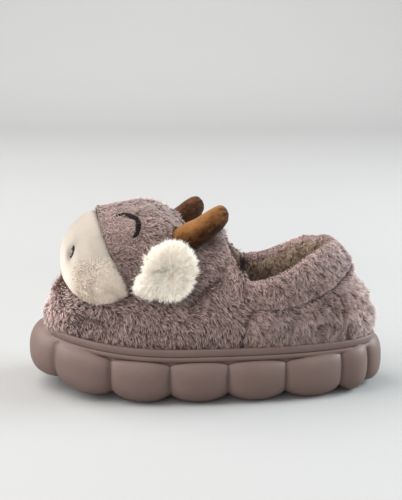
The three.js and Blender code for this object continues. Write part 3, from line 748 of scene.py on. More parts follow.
# The node groups: kind, what wires them, and rows of name, kind and default for their sockets.
MESH_SOCKET = ("Geometry", "Geometry")
NODE_GROUPS = {
    "Plush pile": {
        "kind": "GeometryNodeTree",
        "wire": wire_pile,
        "inputs": (
            MESH_SOCKET,
            ("Density", "Float", 1e6),
            ("Length", "Float", 0.006),
            ("Width", "Float", 0.001),
            ("Stand", "Float", 0.5),
            ("Tuft", "Float", 0.0035),
            ("Gather", "Float", 0.4),
            ("Swirl", "Float", 0.5),
            ("Tousle", "Float", 0.3),
            ("Bow", "Float", 0.15),
            ("Seed", "Int", 1),
            ("Material", "Material"),
        ),
        "output": MESH_SOCKET,
    },
    "Satin stitches": {
        "kind": "GeometryNodeTree",
        "wire": wire_stitches,
        "inputs": (
            MESH_SOCKET,
            ("Strand", "Float", 0.0003),
            ("Arch", "Float", 0.5),
            ("Material", "Material"),
        ),
        "output": MESH_SOCKET,
    },
    "Fibre colour": {
        "kind": "ShaderNodeTree",
        "wire": wire_colour,
        "inputs": (
            ("Place", "Vector"),
            ("Root", "Color"),
            ("Middle", "Color"),
            ("Tip", "Color"),
            ("Along", "Float", 0.5),
            ("Tint", "Float", 0.5),
            ("Tuft", "Float", 0.5),
            ("Shade", "Float", 1.0),
            ("Uneven", "Float", 0.2),
        ),
        "output": ("Color", "Color"),
    },
    "Fine nap": {
        "kind": "ShaderNodeTree",
        "wire": wire_nap,
        "inputs": (
            ("Place", "Vector"),
            ("Grain", "Float", 1500.0),
            ("Coarse", "Float", 200.0),
            ("Share", "Float", 0.5),
        ),
        "output": ("Height", "Float"),
    },
}


def node_group(name):
    """A node group of the slipper, made when it is first used."""
    tree = bpy.data.node_groups.get(name)
    if tree:
        return tree
    form = NODE_GROUPS[name]
    tree = bpy.data.node_groups.new(name, form["kind"])
    for direction, rows in (("INPUT", form["inputs"]), ("OUTPUT", (form["output"],))):
        for label, kind, *default in rows:
            kind = f"NodeSocket{kind}"
            socket = tree.interface.new_socket(label, in_out=direction, socket_type=kind)
            if default:
                socket.default_value = default[0]
    make = Wiring(tree)
    given = make.add("NodeGroupInput").outputs
    make.add("NodeGroupOutput", None, form["wire"](make, given))
    return tree


def run_group(piece, name, values):
    """Makes a piece into what a node group gives, with its named inputs set by identifier."""
    modifier = piece.modifiers.new(name, "NODES")
    modifier.node_group = node_group(name)
    for item in modifier.node_group.interface.items_tree:
        if item.item_type == "SOCKET" and item.in_out == "INPUT" and item.name in values:
            modifier[item.identifier] = values[item.name]
    return settle(piece)


def opaque(value):
    return (*value, 1.0)


class Finish:
    """A new material with its own Principled shader."""

    def __init__(self, name, roughness, sheen=0.0, sheen_roughness=0.5, specular=0.3):
        self.material = bpy.data.materials.new(name)
        self.material.use_nodes = True
        self.make = Wiring(self.material.node_tree)
        self.inputs = self.material.node_tree.nodes["Principled BSDF"].inputs
        self.inputs["Roughness"].default_value = roughness
        self.inputs["Specular IOR Level"].default_value = specular
        self.inputs["Sheen Weight"].default_value = sheen
        self.inputs["Sheen Roughness"].default_value = sheen_roughness
        self.place = self.make.add("ShaderNodeTexCoord").outputs["Object"]

    def attribute(self, name, output="Fac"):
        return self.make.add("ShaderNodeAttribute", {"attribute_name": name}).outputs[output]

    def group(self, name, **inputs):
        settings = {"node_tree": node_group(name)}
        return self.make.add("ShaderNodeGroup", settings, {"Place": self.place, **inputs}).outputs[0]

    def feed(self, name, source):
        self.make.tree.links.new(source, self.inputs[name])

    def colour(self, factor, a, b):
        self.feed("Base Color", self.make.blend("MIX", factor, opaque(a), opaque(b)))

    def soften(self, share):
        """Turns the fibres' shading towards that of the cloth below them."""
        settings = {"vector_type": "NORMAL", "convert_from": "OBJECT", "convert_to": "WORLD"}
        cloth = self.attribute("cloth", "Vector")
        turned = self.make.add("ShaderNodeVectorTransform", settings, {0: cloth}).outputs[0]
        own = self.make.add("ShaderNodeNewGeometry").outputs["Normal"]
        parts = self.make.scaled(turned, share), self.make.scaled(own, 1 - share)
        self.feed("Normal", self.make.direction(*parts))

    def bump(self, height, strength, distance_mm):
        inputs = {"Height": height, "Strength": strength, "Distance": distance_mm * MM}
        self.feed("Normal", self.make.add("ShaderNodeBump", None, inputs).outputs[0])


def pile_finish(name, root, middle, tip, uneven, sheen=0.25, soft=0.5, depth=1):
    """Pile darker at its roots, partly its own colour and partly painted shade deep in the pile, darker
    still by depth, and lighter at its tips.
    """
    finish = Finish(name, roughness=0.88, sheen=sheen, sheen_roughness=0.45, specular=0.18)
    read_by = {label: finish.attribute(label.lower()) for label in ("Along", "Tint", "Tuft", "Shade")}
    ends = {"Root": opaque(depth * c for c in root), "Middle": opaque(middle), "Tip": opaque(tip)}
    finish.feed("Base Color", finish.group("Fibre colour", Uneven=uneven, **ends, **read_by))
    finish.soften(soft)
    return finish.material


def fabric_finish(name, root, middle, uneven, relief=0.6):
    """The fabric that the pile grows from, seen between the fibres."""
    finish = Finish(name, roughness=0.95, sheen=0.15, specular=0.1)
    speckle = finish.group("Fine nap", Grain=900.0, Coarse=300.0)
    ends = {"Root": opaque(root), "Middle": opaque(middle), "Tip": opaque(middle)}
    shade = finish.attribute("shade")
    source = finish.group("Fibre colour", Uneven=uneven, Along=speckle, Shade=shade, **ends)
    finish.feed("Base Color", source)
    finish.bump(speckle, relief, distance_mm=1.2)
    return finish.material


def foam_finish(name, shade, foam):
    finish = Finish(name, roughness=0.52, specular=0.35)
    finish.colour(finish.make.noise(finish.place, 42.0, 5.0)["Fac"], shade, foam)
    finish.bump(finish.group("Fine nap", Grain=2600.0, Coarse=90.0, Share=0.6), 0.35, distance_mm=0.5)
    return finish.material


def suede_finish(name, dark, suede):
    finish = Finish(name, roughness=0.85, sheen=0.12, sheen_roughness=0.4, specular=0.1)
    speckle = finish.group("Fine nap", Grain=1400.0, Coarse=350.0, Share=0.45)
    uneven = finish.make.times(finish.make.minus(speckle, 0.5), 1.6)
    # The shade attribute paints the light and shade: lit suede on top, its painted shade below.
    finish.colour(finish.make.plus(finish.attribute("shade"), uneven), dark, suede)
    finish.bump(speckle, 0.8, distance_mm=0.6)
    return finish.material


def thread_finish(name, thread):
    finish = Finish(name, roughness=0.55, specular=0.12)
    strands = finish.make.noise(finish.place, 1800.0, 2.0)["Fac"]
    finish.colour(strands, thread, [1.25 * c for c in thread])
    finish.bump(strands, 0.5, distance_mm=0.15)
    return finish.material


# The materials: what makes each one, its colours by their names, and how it differs.
MAUVE = ("plush_root", "plush", "plush_tip")
MATERIALS = {
    "Mauve pile": (pile_finish, MAUVE, {"uneven": 1.2, "sheen": 0.5, "soft": 0.4}),
    "Mauve short pile": (pile_finish, MAUVE, {"uneven": 0.7, "sheen": 0.5, "soft": 0.4}),
    "Cream pile": (
        pile_finish,
        ("cream_root", "cream", "cream_tip"),
        {"uneven": 0.16, "soft": 0.3, "depth": 0.88},
    ),
    "White pile": (pile_finish, ("white_root", "white", "white_tip"), {"uneven": 0.3, "soft": 0.2}),
    "Fleece curls": (pile_finish, ("fleece_root", "fleece", "fleece"), {"uneven": 0.7}),
    "Mauve fabric": (fabric_finish, MAUVE[:2], {"uneven": 0.3}),
    "Cream fabric": (fabric_finish, ("cream_root", "cream"), {"uneven": 0.04, "relief": 0.25}),
    "Fleece backing": (fabric_finish, ("fleece_root", "fleece"), {"uneven": 0.4}),
    "Moulded foam": (foam_finish, ("foam_shade", "foam"), {}),
    "Brown suede": (suede_finish, ("suede_dark", "suede"), {}),
    "Dark thread": (thread_finish, ("thread",), {}),
}


def material(name):
    """A material of the slipper, made when it is first used."""
    made = bpy.data.materials.get(name)
    if made:
        return made
    finish, colours, changes = MATERIALS[name]
    given = bpy.context.scene.slipper_colours
    return finish(name, *(getattr(given, colour_name) for colour_name in colours), **changes)


def cover(piece, *names, second=None):
    """Gives a piece its materials, the second one where most of a face's points are marked."""
    piece.data.materials.clear()
    for name in names:
        piece.data.materials.append(material(name))
    if second is not None:
        chosen = (face_share(piece.data, second) > 0.5).astype(np.int32)
        piece.data.polygons.foreach_set("material_index", chosen)
        piece.data.update()


def hand_over(piece, nodes=()):
    """Rides the finished piece on the slipper and hides the solids that it stands for."""
    if nodes:
        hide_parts(*nodes)
    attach(piece, BODY)


# How a pile lies when nothing else is said, and how the fleece's curls stand up.
PILE = {"Stand": 0.36, "Gather": 0.42, "Swirl": 1.2, "Tousle": 0.3, "Bow": 0.12}
CURLS = {"Stand": 0.75, "Gather": 0.8, "Swirl": 1.8, "Tousle": 0.7, "Bow": 0.6, "Tuft": 4.5 * MM}


def grow(skin, name, where, slot, cloth, count, length_m, **changes):
    """Pile on the parts of a skin where the mask is above 0, as a piece of its own."""
    plush = bpy.context.scene.slipper_plush
    store(skin, "pile", where)
    store(skin, "out", normals(skin))
    field = float((numbers(skin.data.polygons, "area") * face_share(skin.data, where)).sum())
    piece = link(bpy.data.objects.new(name, skin.data.copy()))
    sizes = {"Density": count / field, "Length": length_m, "Width": plush.fibre_width, "Tuft": plush.tuft}
    run_group(piece, "Plush pile", {**sizes, **PILE, **changes, "Material": material(cloth)})
    for unused in ("pile", "nap", "comb", "out"):
        if unused in piece.data.attributes:
            piece.data.attributes.remove(piece.data.attributes[unused])
    hand_over(piece)


def grow_fleece(skin, name, where, count, seed, width_mm=1.5):
    """Curly fleece, which is the same on every piece."""
    pile = bpy.context.scene.slipper_plush.fleece_pile
    width = width_mm * MM
    grow(skin, name, where, "fleece lining", "Fleece curls", count, pile, Width=width, Seed=seed, **CURLS)


class SLIPPER_OT_sole(bpy.types.Operator):
    """Moulds the foam sole with its lobes, its grooved band and its tread"""

    bl_idname = "slipper.sole"
    bl_label = "Sole"

    # The tread's grooves: how far apart, how wide and deep, how far from the edge, how bent.
    pitch = 17
    groove_width = 3.5
    groove_depth = 2
    edge_inset = 14
    zigzag = 3
    bends = 6
    # The share of the band that they cover, how far back they sit, and how low the cutter starts.
    tread_share = 0.62
    back_share = 0.08
    start_below = 5

    def execute(self, context):
        form = SoleForm(context.scene.slipper_sole)
        around = form.lobes * form.columns
        sole = ring_skin("sole_moulded", form.rings(np.arange(around) / around))
        self.cut_lugs(sole, form)
        cover(sole, "Moulded foam")
        sole.data.shade_smooth()
        hand_over(sole, ["sole"])
        return {"FINISHED"}

    def cut_lugs(self, sole, form):
        """Zigzag grooves across the tread."""
        rows = int(self.tread_share * form.band_length / self.pitch)
        points, faces = [], []
        for i in range(rows):
            middle = form.mid_x - self.back_share * form.half + (i - (rows - 1) / 2) * self.pitch
            at = np.array([middle])
            half = float(form.half_width(at)[0]) - self.edge_inset
            floor, across = float(form.tread(at)[0]), float(form.swing(at)[0])
            turns = [
                (middle + self.zigzag * (n % 2), mix(-half, half, n / self.bends) + across)
                for n in range(self.bends + 1)
            ]
            for (x0, y0), (x1, y1) in zip(turns[:-1], turns[1:]):
                first, wide = len(points), self.groove_width
                corners = ((x0, y0), (x0 + wide, y0), (x1 + wide, y1), (x1, y1))
                for z in (floor - self.start_below, floor + self.groove_depth):
                    points += [(x * MM, y * MM, z * MM) for x, y in corners]
                faces += [[first + k for k in ends] for ends in ((3, 2, 1, 0), (4, 5, 6, 7))]
                for k in range(4):
                    after = (k + 1) % 4
                    faces.append([first + k, first + after, first + 4 + after, first + 4 + k])
        cutter = mesh_object("lug_cutter", points, faces)
        rework(cutter.data, face_outwards)
        cut = sole.modifiers.new("Lugs", "BOOLEAN")
        cut.operation = "DIFFERENCE"
        cut.object = cutter
        cut.solver = "EXACT"
        cut.use_self = True
        settle(sole)
        bpy.data.objects.remove(cutter)


# Seams and creases of the upper's outer side, as paths of x and height, each with a width and
# a depth. All in millimetres.
UPPER_CREASES = (
    {"path": ((-28, 36), (-28.5, 52), (-30, 68)), "width": 4.2, "depth": 2},
    {"path": ((-107, 38), (-108, 47), (-107, 56)), "width": 3, "depth": 1.2},
    {"path": ((-66, 67), (-77, 69), (-82, 59)), "width": 3.6, "depth": 1.8},
    {"path": ((-82, 53), (-90, 57), (-99, 53)), "width": 5, "depth": 1.2},
    {"path": ((-90, 81), (-100, 74), (-103, 60)), "width": 3.6, "depth": 1.8},
    {"path": ((-84, 74), (-92, 69), (-97, 64)), "width": 4, "depth": 1.2},
    {"path": ((96, 58), (88, 63), (78, 61)), "width": 7, "depth": 0.9},
    {"path": ((-10, 92), (2, 84), (12, 74)), "width": 9, "depth": 1},
)
VAMP_SEAM_X = -28


class SLIPPER_OT_upper(bpy.types.Operator):
    """Covers the hollow upper in mauve plush, with its seams and creases, and lines it with fleece"""

    bl_idname = "slipper.upper"
    bl_label = "Upper"

    # The foot's middle line, which tells outside from lining, in millimetres.
    foot_half = 92
    foot_y = -2.0
    foot_z = 60.0
    # The throat in front of the opening, its lip, and the lowest curls of the lining.
    throat_x = -42
    throat_z = 78
    lip_z = 92
    curls_z = 44
    lining_inset = 1.2

    def execute(self, context):
        plush = context.scene.slipper_plush
        skin, points, out = skin_over("upper", "upper_skin", voxel_mm=1.9, rounds=8)
        x, y, z = points.T
        rim = SoleForm(context.scene.slipper_sole).rim(x)
        ahead = np.clip(x, -self.foot_half, self.foot_half)
        middle = np.column_stack([ahead, np.full(len(x), self.foot_y), np.full(len(x), self.foot_z)])
        outwards = ((points - middle) * out).sum(1)
        from_middle = np.linalg.norm(points - middle, axis=1)
        outer = outwards > -0.35 * from_middle
        groove, near = np.zeros(len(x)), np.zeros(len(x))
        for crease in UPPER_CREASES:
            line = trough(away_from_path(points[:, [0, 2]], crease["path"]), crease["width"])
            line *= y > 0
            groove += crease["depth"] * line
            near = np.maximum(near, line * min(1, crease["depth"]))
        inner_seam = trough(np.abs(x - VAMP_SEAM_X), 3.4) * (y < 0) * (z < 70)
        groove += 1.6 * inner_seam
        collar = near_solid(points, "collar")
        near = np.maximum(near, np.maximum(inner_seam, 0.8 * trough(collar, 2.4)))
        swell = 0.7 * lumps(points, 26, 3) + 0.35 * lumps(points, 11, 4)
        inset = plush.skin_depth / MM + groove - swell * smooth(z, rim + 1, rim + 12)
        inset = inset * smooth(collar, 0, 4) - 0.5 * trough(collar, 2)
        # Toe and heel bulge over the rim, and both ends lean in above it.
        toe = smooth(x, 88, 114) * smooth(z, rim - 7, rim - 1) * (1 - smooth(z, rim + 9, rim + 24))
        heel = smooth(-x, 92, 114) * smooth(z, rim, rim + 6) * (1 - smooth(z, 54, 66))
        inset -= 4.2 * toe + 2.6 * heel
        inset += 4 * smooth(x, 106, 115) * trough(z - 65, 14)
        inset += 3.6 * smooth(-x, 96, 110) * trough(z - 86, 17)
        out = press(skin, points, out, np.where(outer, inset, self.lining_inset))
        # The pile lies back and down, more down towards the sole, and wanders.
        turn = np.radians(38) + np.radians(48) * smooth(-z, -75, -45)
        turn += np.radians(38) * lumps(points, 34, 21) + np.radians(20) * lumps(points, 13, 22)
        flow = np.column_stack([-np.cos(turn), np.zeros(len(turn)), -np.sin(turn)])
        store(skin, "comb", lay_flat(flow, out))
        # Painted light at the toe and heel, on top and at the throat; painted shade in the creases and
        # behind the ear, and at the seams, which are partly their own dark line; darker towards the sole.
        lip = smooth(-x, 10, 18) * smooth(z, 84, 94)
        shade = 1 - 0.56 * near * (1 - lip) + 0.5 * lip + 0.05 * lumps(points, 30, 6)
        shade -= 0.1 * smooth(-z, -rim - 14, -rim)
        shade += 0.52 * smooth(x, 94, 114) + 0.22 * smooth(-x, 98, 116)
        shade += 0.12 * smooth(out[:, 2], 0.1, 0.8) - 0.22 * trough(near_solid(points, "ear_left"), 14)
        store(skin, "shade", shade)
        # Shorter low on the vamp, and where the plush turns in at the throat.
        edge = 1 - smooth(outwards / from_middle, -0.3, 0.35)
        low = 0.3 * (1 - smooth(z, rim + 12, rim + 40)) * smooth(x, -30, 0)
        nap = 1.08 - 0.76 * near - 0.2 * lip - low - 0.75 * edge + 0.12 * lumps(points, 9, 8)
        nap -= 0.5 * smooth(-x, 8, 18) * smooth(z, 94, 104)
        store(skin, "nap", np.clip(nap, 0.25, 1.3))
        head = ("face", "muzzle", "horn_left", "horn_right")
        free = ~covered_by(points + out * 0.5, out, head, 3) & (z > rim - 0.5) & (edge < 0.5)
        vamp = smooth(x, VAMP_SEAM_X - 0.6, VAMP_SEAM_X + 0.6)
        fibres = (plush.upper_fibres, plush.pile_length)
        for name, part, seed in (("vamp_pile", vamp, 11), ("quarter_pile", 1 - vamp, 12)):
            grow(skin, name, (outer & free) * part, "mauve plush", "Mauve pile", *fibres, Seed=seed)
        throat = (x > self.throat_x) & (z > self.throat_z)
        inside = ~outer & (z > self.curls_z) & ~throat
        grow_fleece(skin, "lining_pile", inside, plush.lining_fibres, 13)
        cover(skin, "Mauve fabric", "Fleece backing", second=~(outer | (throat & (z > self.lip_z))))
        hand_over(skin, ["upper"])
        return {"FINISHED"}


class SLIPPER_OT_collar(bpy.types.Operator):
    """Pads the collar in plush that folds over into the fleece lining"""

    bl_idname = "slipper.collar"
    bl_label = "Collar"

    fold_mm = 8.0
    sectors = 90

    def execute(self, context):
        plush = context.scene.slipper_plush
        skin, points, out = skin_over("collar", "collar_skin", voxel_mm=1.5, rounds=6)
        x, y, z = points.T
        middle = points[:, :2].mean(0)
        away = points[:, :2] - middle
        # How far each point lies below the collar's top in its own sector.
        turn = (np.arctan2(y - middle[1], x - middle[0]) + np.pi) / (2 * np.pi) * self.sectors
        own, row = np.clip(turn.astype(int), 0, self.sectors - 1), np.arange(self.sectors)
        tops = np.array([z[own == i].max() if (own == i).any() else np.nan for i in row])
        known = ~np.isnan(tops)
        drop = np.interp(turn - 0.5, row, np.interp(row, row[known], tops[known])) - z
        inner = (out[:, :2] * unit(away)).sum(1) < -0.15
        fleece = inner & (drop > self.fold_mm)
        seam = trough(drop - self.fold_mm, 3) * inner
        foot = near_solid(points, "upper")
        swell = 0.45 * lumps(points, 16, 31)
        inset = 0.8 * plush.skin_depth / MM + 1.2 * seam - swell + 2.6 * smooth(-x, 94, 107)
        inset = inset * smooth(foot, 0, 4) - 0.5 * trough(foot, 3.2)
        moved = points - out * inset[:, None]
        # The outer side dips lowest near its front.
        moved[:, 2] -= 4.5 * trough(x + 46, 62) * smooth(y, 5, 25) * (1 - smooth(drop, 5, 24))
        place(skin, moved)
        out = normals(skin)
        # The pile lies down and back, away from the opening on the crown.
        down = np.column_stack([np.full(len(x), -0.55), np.zeros(len(x)), np.full(len(x), -1.0)])
        down[:, :2] += 0.7 * unit(away) * smooth(-drop, -9, 0)[:, None]
        down += wander(points, 17, 33) * 0.7
        store(skin, "comb", lay_flat(down, out))
        # Painted light on the crown; where the collar meets the upper and at the lining's seam it is darker,
        # partly as a seam line and partly as painted shade.
        crown = smooth(-drop, -12, -2)
        near = 0.6 * np.maximum(trough(foot, 2.2), 0.7 * seam) * (1 - 0.75 * crown)
        store(skin, "shade", 1 + 0.46 * crown - near + 0.04 * lumps(points, 24, 36))
        nap = 1.1 - 0.72 * crown - 0.4 * seam - 0.75 * trough(foot, 6)
        store(skin, "nap", np.clip(nap, 0.25, 1.1))
        fibres = (plush.collar_fibres, plush.short_pile * 1.25)
        lie = {"Stand": 0.34, "Tuft": 3.4 * MM, "Seed": 31}
        grow(skin, "collar_pile", ~fleece, "mauve plush", "Mauve pile", *fibres, **lie)
        grow_fleece(skin, "collar_lining_pile", fleece & (foot > 0.9), plush.collar_curls, 32)
        cover(skin, "Mauve fabric", "Fleece backing", second=fleece)
        hand_over(skin, ["collar"])
        return {"FINISHED"}


class SLIPPER_OT_insole(bpy.types.Operator):
    """Lays the fleece insole in the sole's cup"""

    bl_idname = "slipper.insole"
    bl_label = "Insole"

    def execute(self, context):
        skin, points, out = skin_over("insole", "insole_skin", voxel_mm=2.4, rounds=3)
        up = out[:, 2] > 0.5
        # Trodden in a little, most under the heel.
        dent = 1.4 + 1.2 * trough(np.hypot(points[:, 0] + 82, points[:, 1] + 3), 60)
        out = press(skin, points, out, np.where(up, dent + 0.3 * lumps(points, 9, 41), 0))
        store(skin, "comb", lay_flat(wander(points, 12, 42), out))
        store(skin, "shade", 1 + 0.06 * lumps(points, 20, 45))
        store(skin, "nap", np.full(len(points), 0.9))
        grow_fleece(skin, "insole_pile", up, context.scene.slipper_plush.insole_curls, 41, width_mm=1.6)
        cover(skin, "Fleece backing")
        hand_over(skin, ["insole"])
        return {"FINISHED"}


# The head's own frame: its origin inside the head, +X to the nose.
HEAD_PLACE = (59.98, -0.23, 103.49)
HEAD_TURN = math.radians(9)
HEAD_NOD = math.radians(8.5)
HEAD = Matrix.Rotation(HEAD_TURN, 3, "Z") @ Matrix.Rotation(HEAD_NOD, 3, "Y")

# The middle of each nostril on the muzzle in millimetres, and the way that their slits run.
NOSTRILS = {"left": (99.3, 30.9, 112.2), "right": (107.2, -17.3, 111)}
NOSTRIL_SLANT = np.array([-0.4, 0.08, 0.913])


def on_head(points):
    """Points in millimetres as the head sees them."""
    return (points - np.array(HEAD_PLACE)) @ np.array(HEAD)


def from_head(vectors):
    return vectors @ np.array(HEAD).T


class SLIPPER_OT_head(bpy.types.Operator):
    """Stuffs the face and the muzzle and covers them in plush"""

    bl_idname = "slipper.head"
    bl_label = "Face and muzzle"

    def execute(self, context):
        self.face(context.scene.slipper_plush)
        self.muzzle(context.scene.slipper_plush)
        return {"FINISHED"}

    def lids(self, points):
        """Each point's distance to the lashes, and how near it lies to an upper lid's fold."""
        eye, lid = np.full(len(points), 1e9), np.zeros(len(points))
        for side in ("left", "right"):
            line, across, half = lash_line(side)
            offset = points[:, None, :] - line[None, :, :]
            nearest = np.argmin((offset**2).sum(2), axis=1)
            offset = offset[np.arange(len(points)), nearest]
            away = np.linalg.norm(offset, axis=1)
            eye = np.minimum(eye, away - half[nearest])
            above = (offset * across[nearest]).sum(1) * np.sign(across[len(line) // 2, 2])
            lid = np.maximum(lid, trough(above - 4.2, 2.4) * (away < 6))
        return eye, lid

    def face(self, plush):
        skin, points, out = skin_over("face", "face_skin", voxel_mm=1.5, rounds=14)
        mine = on_head(points)
        eye, lid = self.lids(points)
        gap = near_solid(points, "muzzle")
        bed = trough(np.maximum(eye, 0), 5)
        horns = np.minimum(near_solid(points, "horn_left"), near_solid(points, "horn_right"))
        root = trough(horns, 5)
        swell = 0.5 * lumps(points, 22, 51)
        inset = 0.7 * plush.skin_depth / MM + 0.9 * lid + 0.3 * bed + 0.8 * root - swell
        inset = inset * smooth(gap, 0, 5) - 0.4 * trough(gap, 4) + 1.6 * smooth(mine[:, 2], 24, 36)
        out = press(skin, points, out, inset)
        # The pile lies back, down and to both sides.
        back, aside = np.full(len(points), -0.9), 0.35 * np.sign(mine[:, 1])
        flow = np.column_stack([back, aside, np.full(len(points), -0.35)])
        flow += wander(points, 15, 53) * 0.75
        store(skin, "comb", lay_flat(from_head(flow), out))
        # Short smooth pile in front of the eyes, from the seam back to them.
        front = smooth(mine[:, 0], -17, -7) * smooth(mine[:, 2], 6, 18)
        front = np.maximum(front, trough(np.maximum(eye, 0), 9))
        # Painted shade in the lids' folds, round the eyes and at the horns' roots; painted light in front of
        # the eyes and on top.
        shade = 1 - 0.35 * lid - 0.2 * bed - 0.12 * root + 0.04 * lumps(points, 26, 56)
        store(skin, "shade", shade + 0.12 * front + 0.12 * smooth(out[:, 2], 0.1, 0.8))
        nap = 1 - 0.52 * front - 0.3 * np.maximum(bed, 0.5 * lid) - 0.3 * root
        store(skin, "nap", np.clip(nap, 0.2, 1.2))
        hidden = covered_by(points, out, ("upper", "ear_left", "ear_right"), 2.5)
        free = (eye > 0.6) & (horns > 0.8) & ~hidden
        fibres = (int(plush.head_fibres * 0.65), plush.short_pile * 1.1)
        grow(skin, "face_pile", free, "mauve plush", "Mauve short pile", *fibres, Seed=51, Stand=0.28)
        cover(skin, "Mauve fabric")
        hand_over(skin, ["face"])

    def muzzle(self, plush):
        skin, points, out = skin_over("muzzle", "muzzle_skin", voxel_mm=1.5, rounds=12)
        mine = on_head(points)
        gap = near_solid(points, "face")
        seam = trough(gap, 4)
        swell = 0.4 * lumps(points, 30, 61)
        hole = np.full(len(points), 1e9)
        for spot in NOSTRILS.values():
            away = points - np.array(spot)
            slit = away @ NOSTRIL_SLANT
            aside = np.linalg.norm(away - np.outer(slit, NOSTRIL_SLANT), axis=1)
            hole = np.minimum(hole, np.hypot(aside / 2.7, slit / 5))
        dimple = trough(hole, 3)
        cheek = smooth(-mine[:, 2], -8, 8) * smooth(out[:, 0], -0.2, 0.6)
        # Smooth in front and on top, tufted low beside the face.
        rough = smooth(-mine[:, 2], -12, 14) * smooth(-mine[:, 0], -44, -22)
        inset = 0.1 - swell + 2.6 * dimple - 1.2 * cheek - 0.9 * (1 - rough)
        inset = inset * smooth(gap, 0, 5) - 0.3 * seam
        out = press(skin, points, out, inset)
        # The pile lies back, and outwards from the muzzle's middle.
        half_width, half_height = 43, 40
        back = np.full(len(points), -0.8)
        aside, upwards = 0.5 * mine[:, 1] / half_width, 0.5 * mine[:, 2] / half_height
        flow = np.column_stack([back, aside, upwards])
        flow += wander(points, 15, 63) * 0.25
        store(skin, "comb", lay_flat(from_head(flow), out))
        # Painted light and shade: darker on top and lighter underneath to even out the lamps, and painted
        # shade in the nostrils' dimples and at the seam to the face.
        up = out[:, 2]
        lit = 0.88 - 0.16 * smooth(up, 0.2, 0.8) + 0.22 * smooth(-up, -0.3, 0.3)
        store(skin, "shade", lit - 0.5 * dimple - 0.08 * seam + 0.02 * lumps(points, 30, 66))
        store(skin, "nap", np.clip(0.6 + 1.2 * rough - 0.5 * dimple, 0.2, 1.8))
        free = ~covered_by(points, out, ("upper", "face"), 2) & (hole > 1.2)
        fibres = (plush.head_fibres, plush.sheared_pile * 1.2)
        lie = {"Stand": 0.5, "Swirl": 0.6, "Tousle": 0.45, "Gather": 0.25, "Tuft": 2.8 * MM}
        lie |= {"Width": 0.65 * MM, "Seed": 61}
        grow(skin, "muzzle_pile", free * rough, "cream plush", "Cream pile", *fibres, **lie)
        # The bare cloth is lit differently from its pile, so it gets its own painted light and shade: darker
        # on top, lighter underneath, and darker in the dimples and at the seam.
        bare = 0.5 - 0.13 * smooth(up, 0.1, 0.7) + 0.25 * smooth(-up, -0.25, 0.3)
        store(skin, "shade", bare - 0.4 * dimple - 0.06 * seam + 0.02 * lumps(points, 30, 66))
        cover(skin, "Cream fabric")
        hand_over(skin, ["muzzle"])


def stitched(name, line, across, out, half, strand_mm, arch):
    """A row of satin stitches along a line of points in millimetres."""
    piece = mesh_object(name, line * MM, [])
    store(piece, "across", across)
    store(piece, "out", out)
    store(piece, "half", half * MM)
    values = {"Strand": strand_mm * MM, "Arch": arch, "Material": material("Dark thread")}
    return run_group(piece, "Satin stitches", values)


def centre_line(points, count, slices=11, run_on=0.34, low_end=0.95, high_end=0.15):
    """The middle line and half width of a thin bent ribbon of points, run on at both ends."""
    middle = points.mean(0)
    spread = np.linalg.svd(points - middle, full_matrices=False)[2]
    flat = (points - middle) @ spread[:2].T
    # The ribbon bends about the centre of the circle that fits it best.
    rows = np.column_stack([2 * flat, np.ones(len(flat))])
    centre = np.linalg.lstsq(rows, (flat**2).sum(1), rcond=None)[0][:2]
    away = flat - centre
    ahead = unit(-centre)
    side = np.array([-ahead[1], ahead[0]])
    turn = np.arctan2(away @ side, away @ ahead)
    radius = np.hypot(*away.T)
    edges = np.linspace(turn.min(), turn.max(), slices + 1)
    at, mid, half, lift = [], [], [], []
    for low, high in zip(edges[:-1], edges[1:]):
        inside = (turn >= low - 1e-6) & (turn <= high + 1e-6)
        if inside.sum() < 3:
            continue
        at.append((low + high) / 2)
        mid.append((radius[inside].min() + radius[inside].max()) / 2)
        half.append((radius[inside].max() - radius[inside].min()) / 2)
        lift.append(((points[inside] - middle) @ spread[2]).mean())
    # The arc runs on a little below its solid.
    more = run_on * np.ptp(turn)
    first_height = points[turn < turn.min() + more].mean(0)[2]
    lower_first = first_height < points[turn > turn.max() - more].mean(0)[2]
    first = turn.min() - more * (low_end if lower_first else high_end)
    last = turn.max() + more * (high_end if lower_first else low_end)
    turns = np.linspace(first, last, count)
    mid, half, lift = (np.interp(turns, at, values) for values in (mid, half, lift))
    from_top = (turns - turns[0]) / np.ptp(turns)
    if lower_first:
        from_top = 1 - from_top
    # Thin at the inner corner, full along the lash line and blunt at its outer end.
    width = smooth(from_top, -0.4, 0.35) * np.sqrt(np.clip((1.03 - from_top) / 0.3, 0, 1))
    half = half.max() * np.maximum(0.12, width)
    across = np.cos(turns)[:, None] * ahead + np.sin(turns)[:, None] * side
    spots = centre + across * mid[:, None]
    line = middle + spots @ spread[:2] + lift[:, None] * spread[2]
    return line, across @ spread[:2], half


def lash_line(side):
    """The middle of a closed eye's lashes, a little above its solid's."""
    line, across, half = centre_line(places(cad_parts[f"eye_{side}"]), count=80)
    along = np.linspace(-1, 1, len(line))
    if line[0, 2] < line[-1, 2]:
        along = -along
    # The inner end runs on nearly level, and the lower end stays under the outer corner.
    line[:, 2] += 4.6 + 4.8 * smooth(-along, 0.0, 1.1)
    line[:, 0] -= 3.4 * smooth(along, 0.3, 1.1)
    return line, across, half


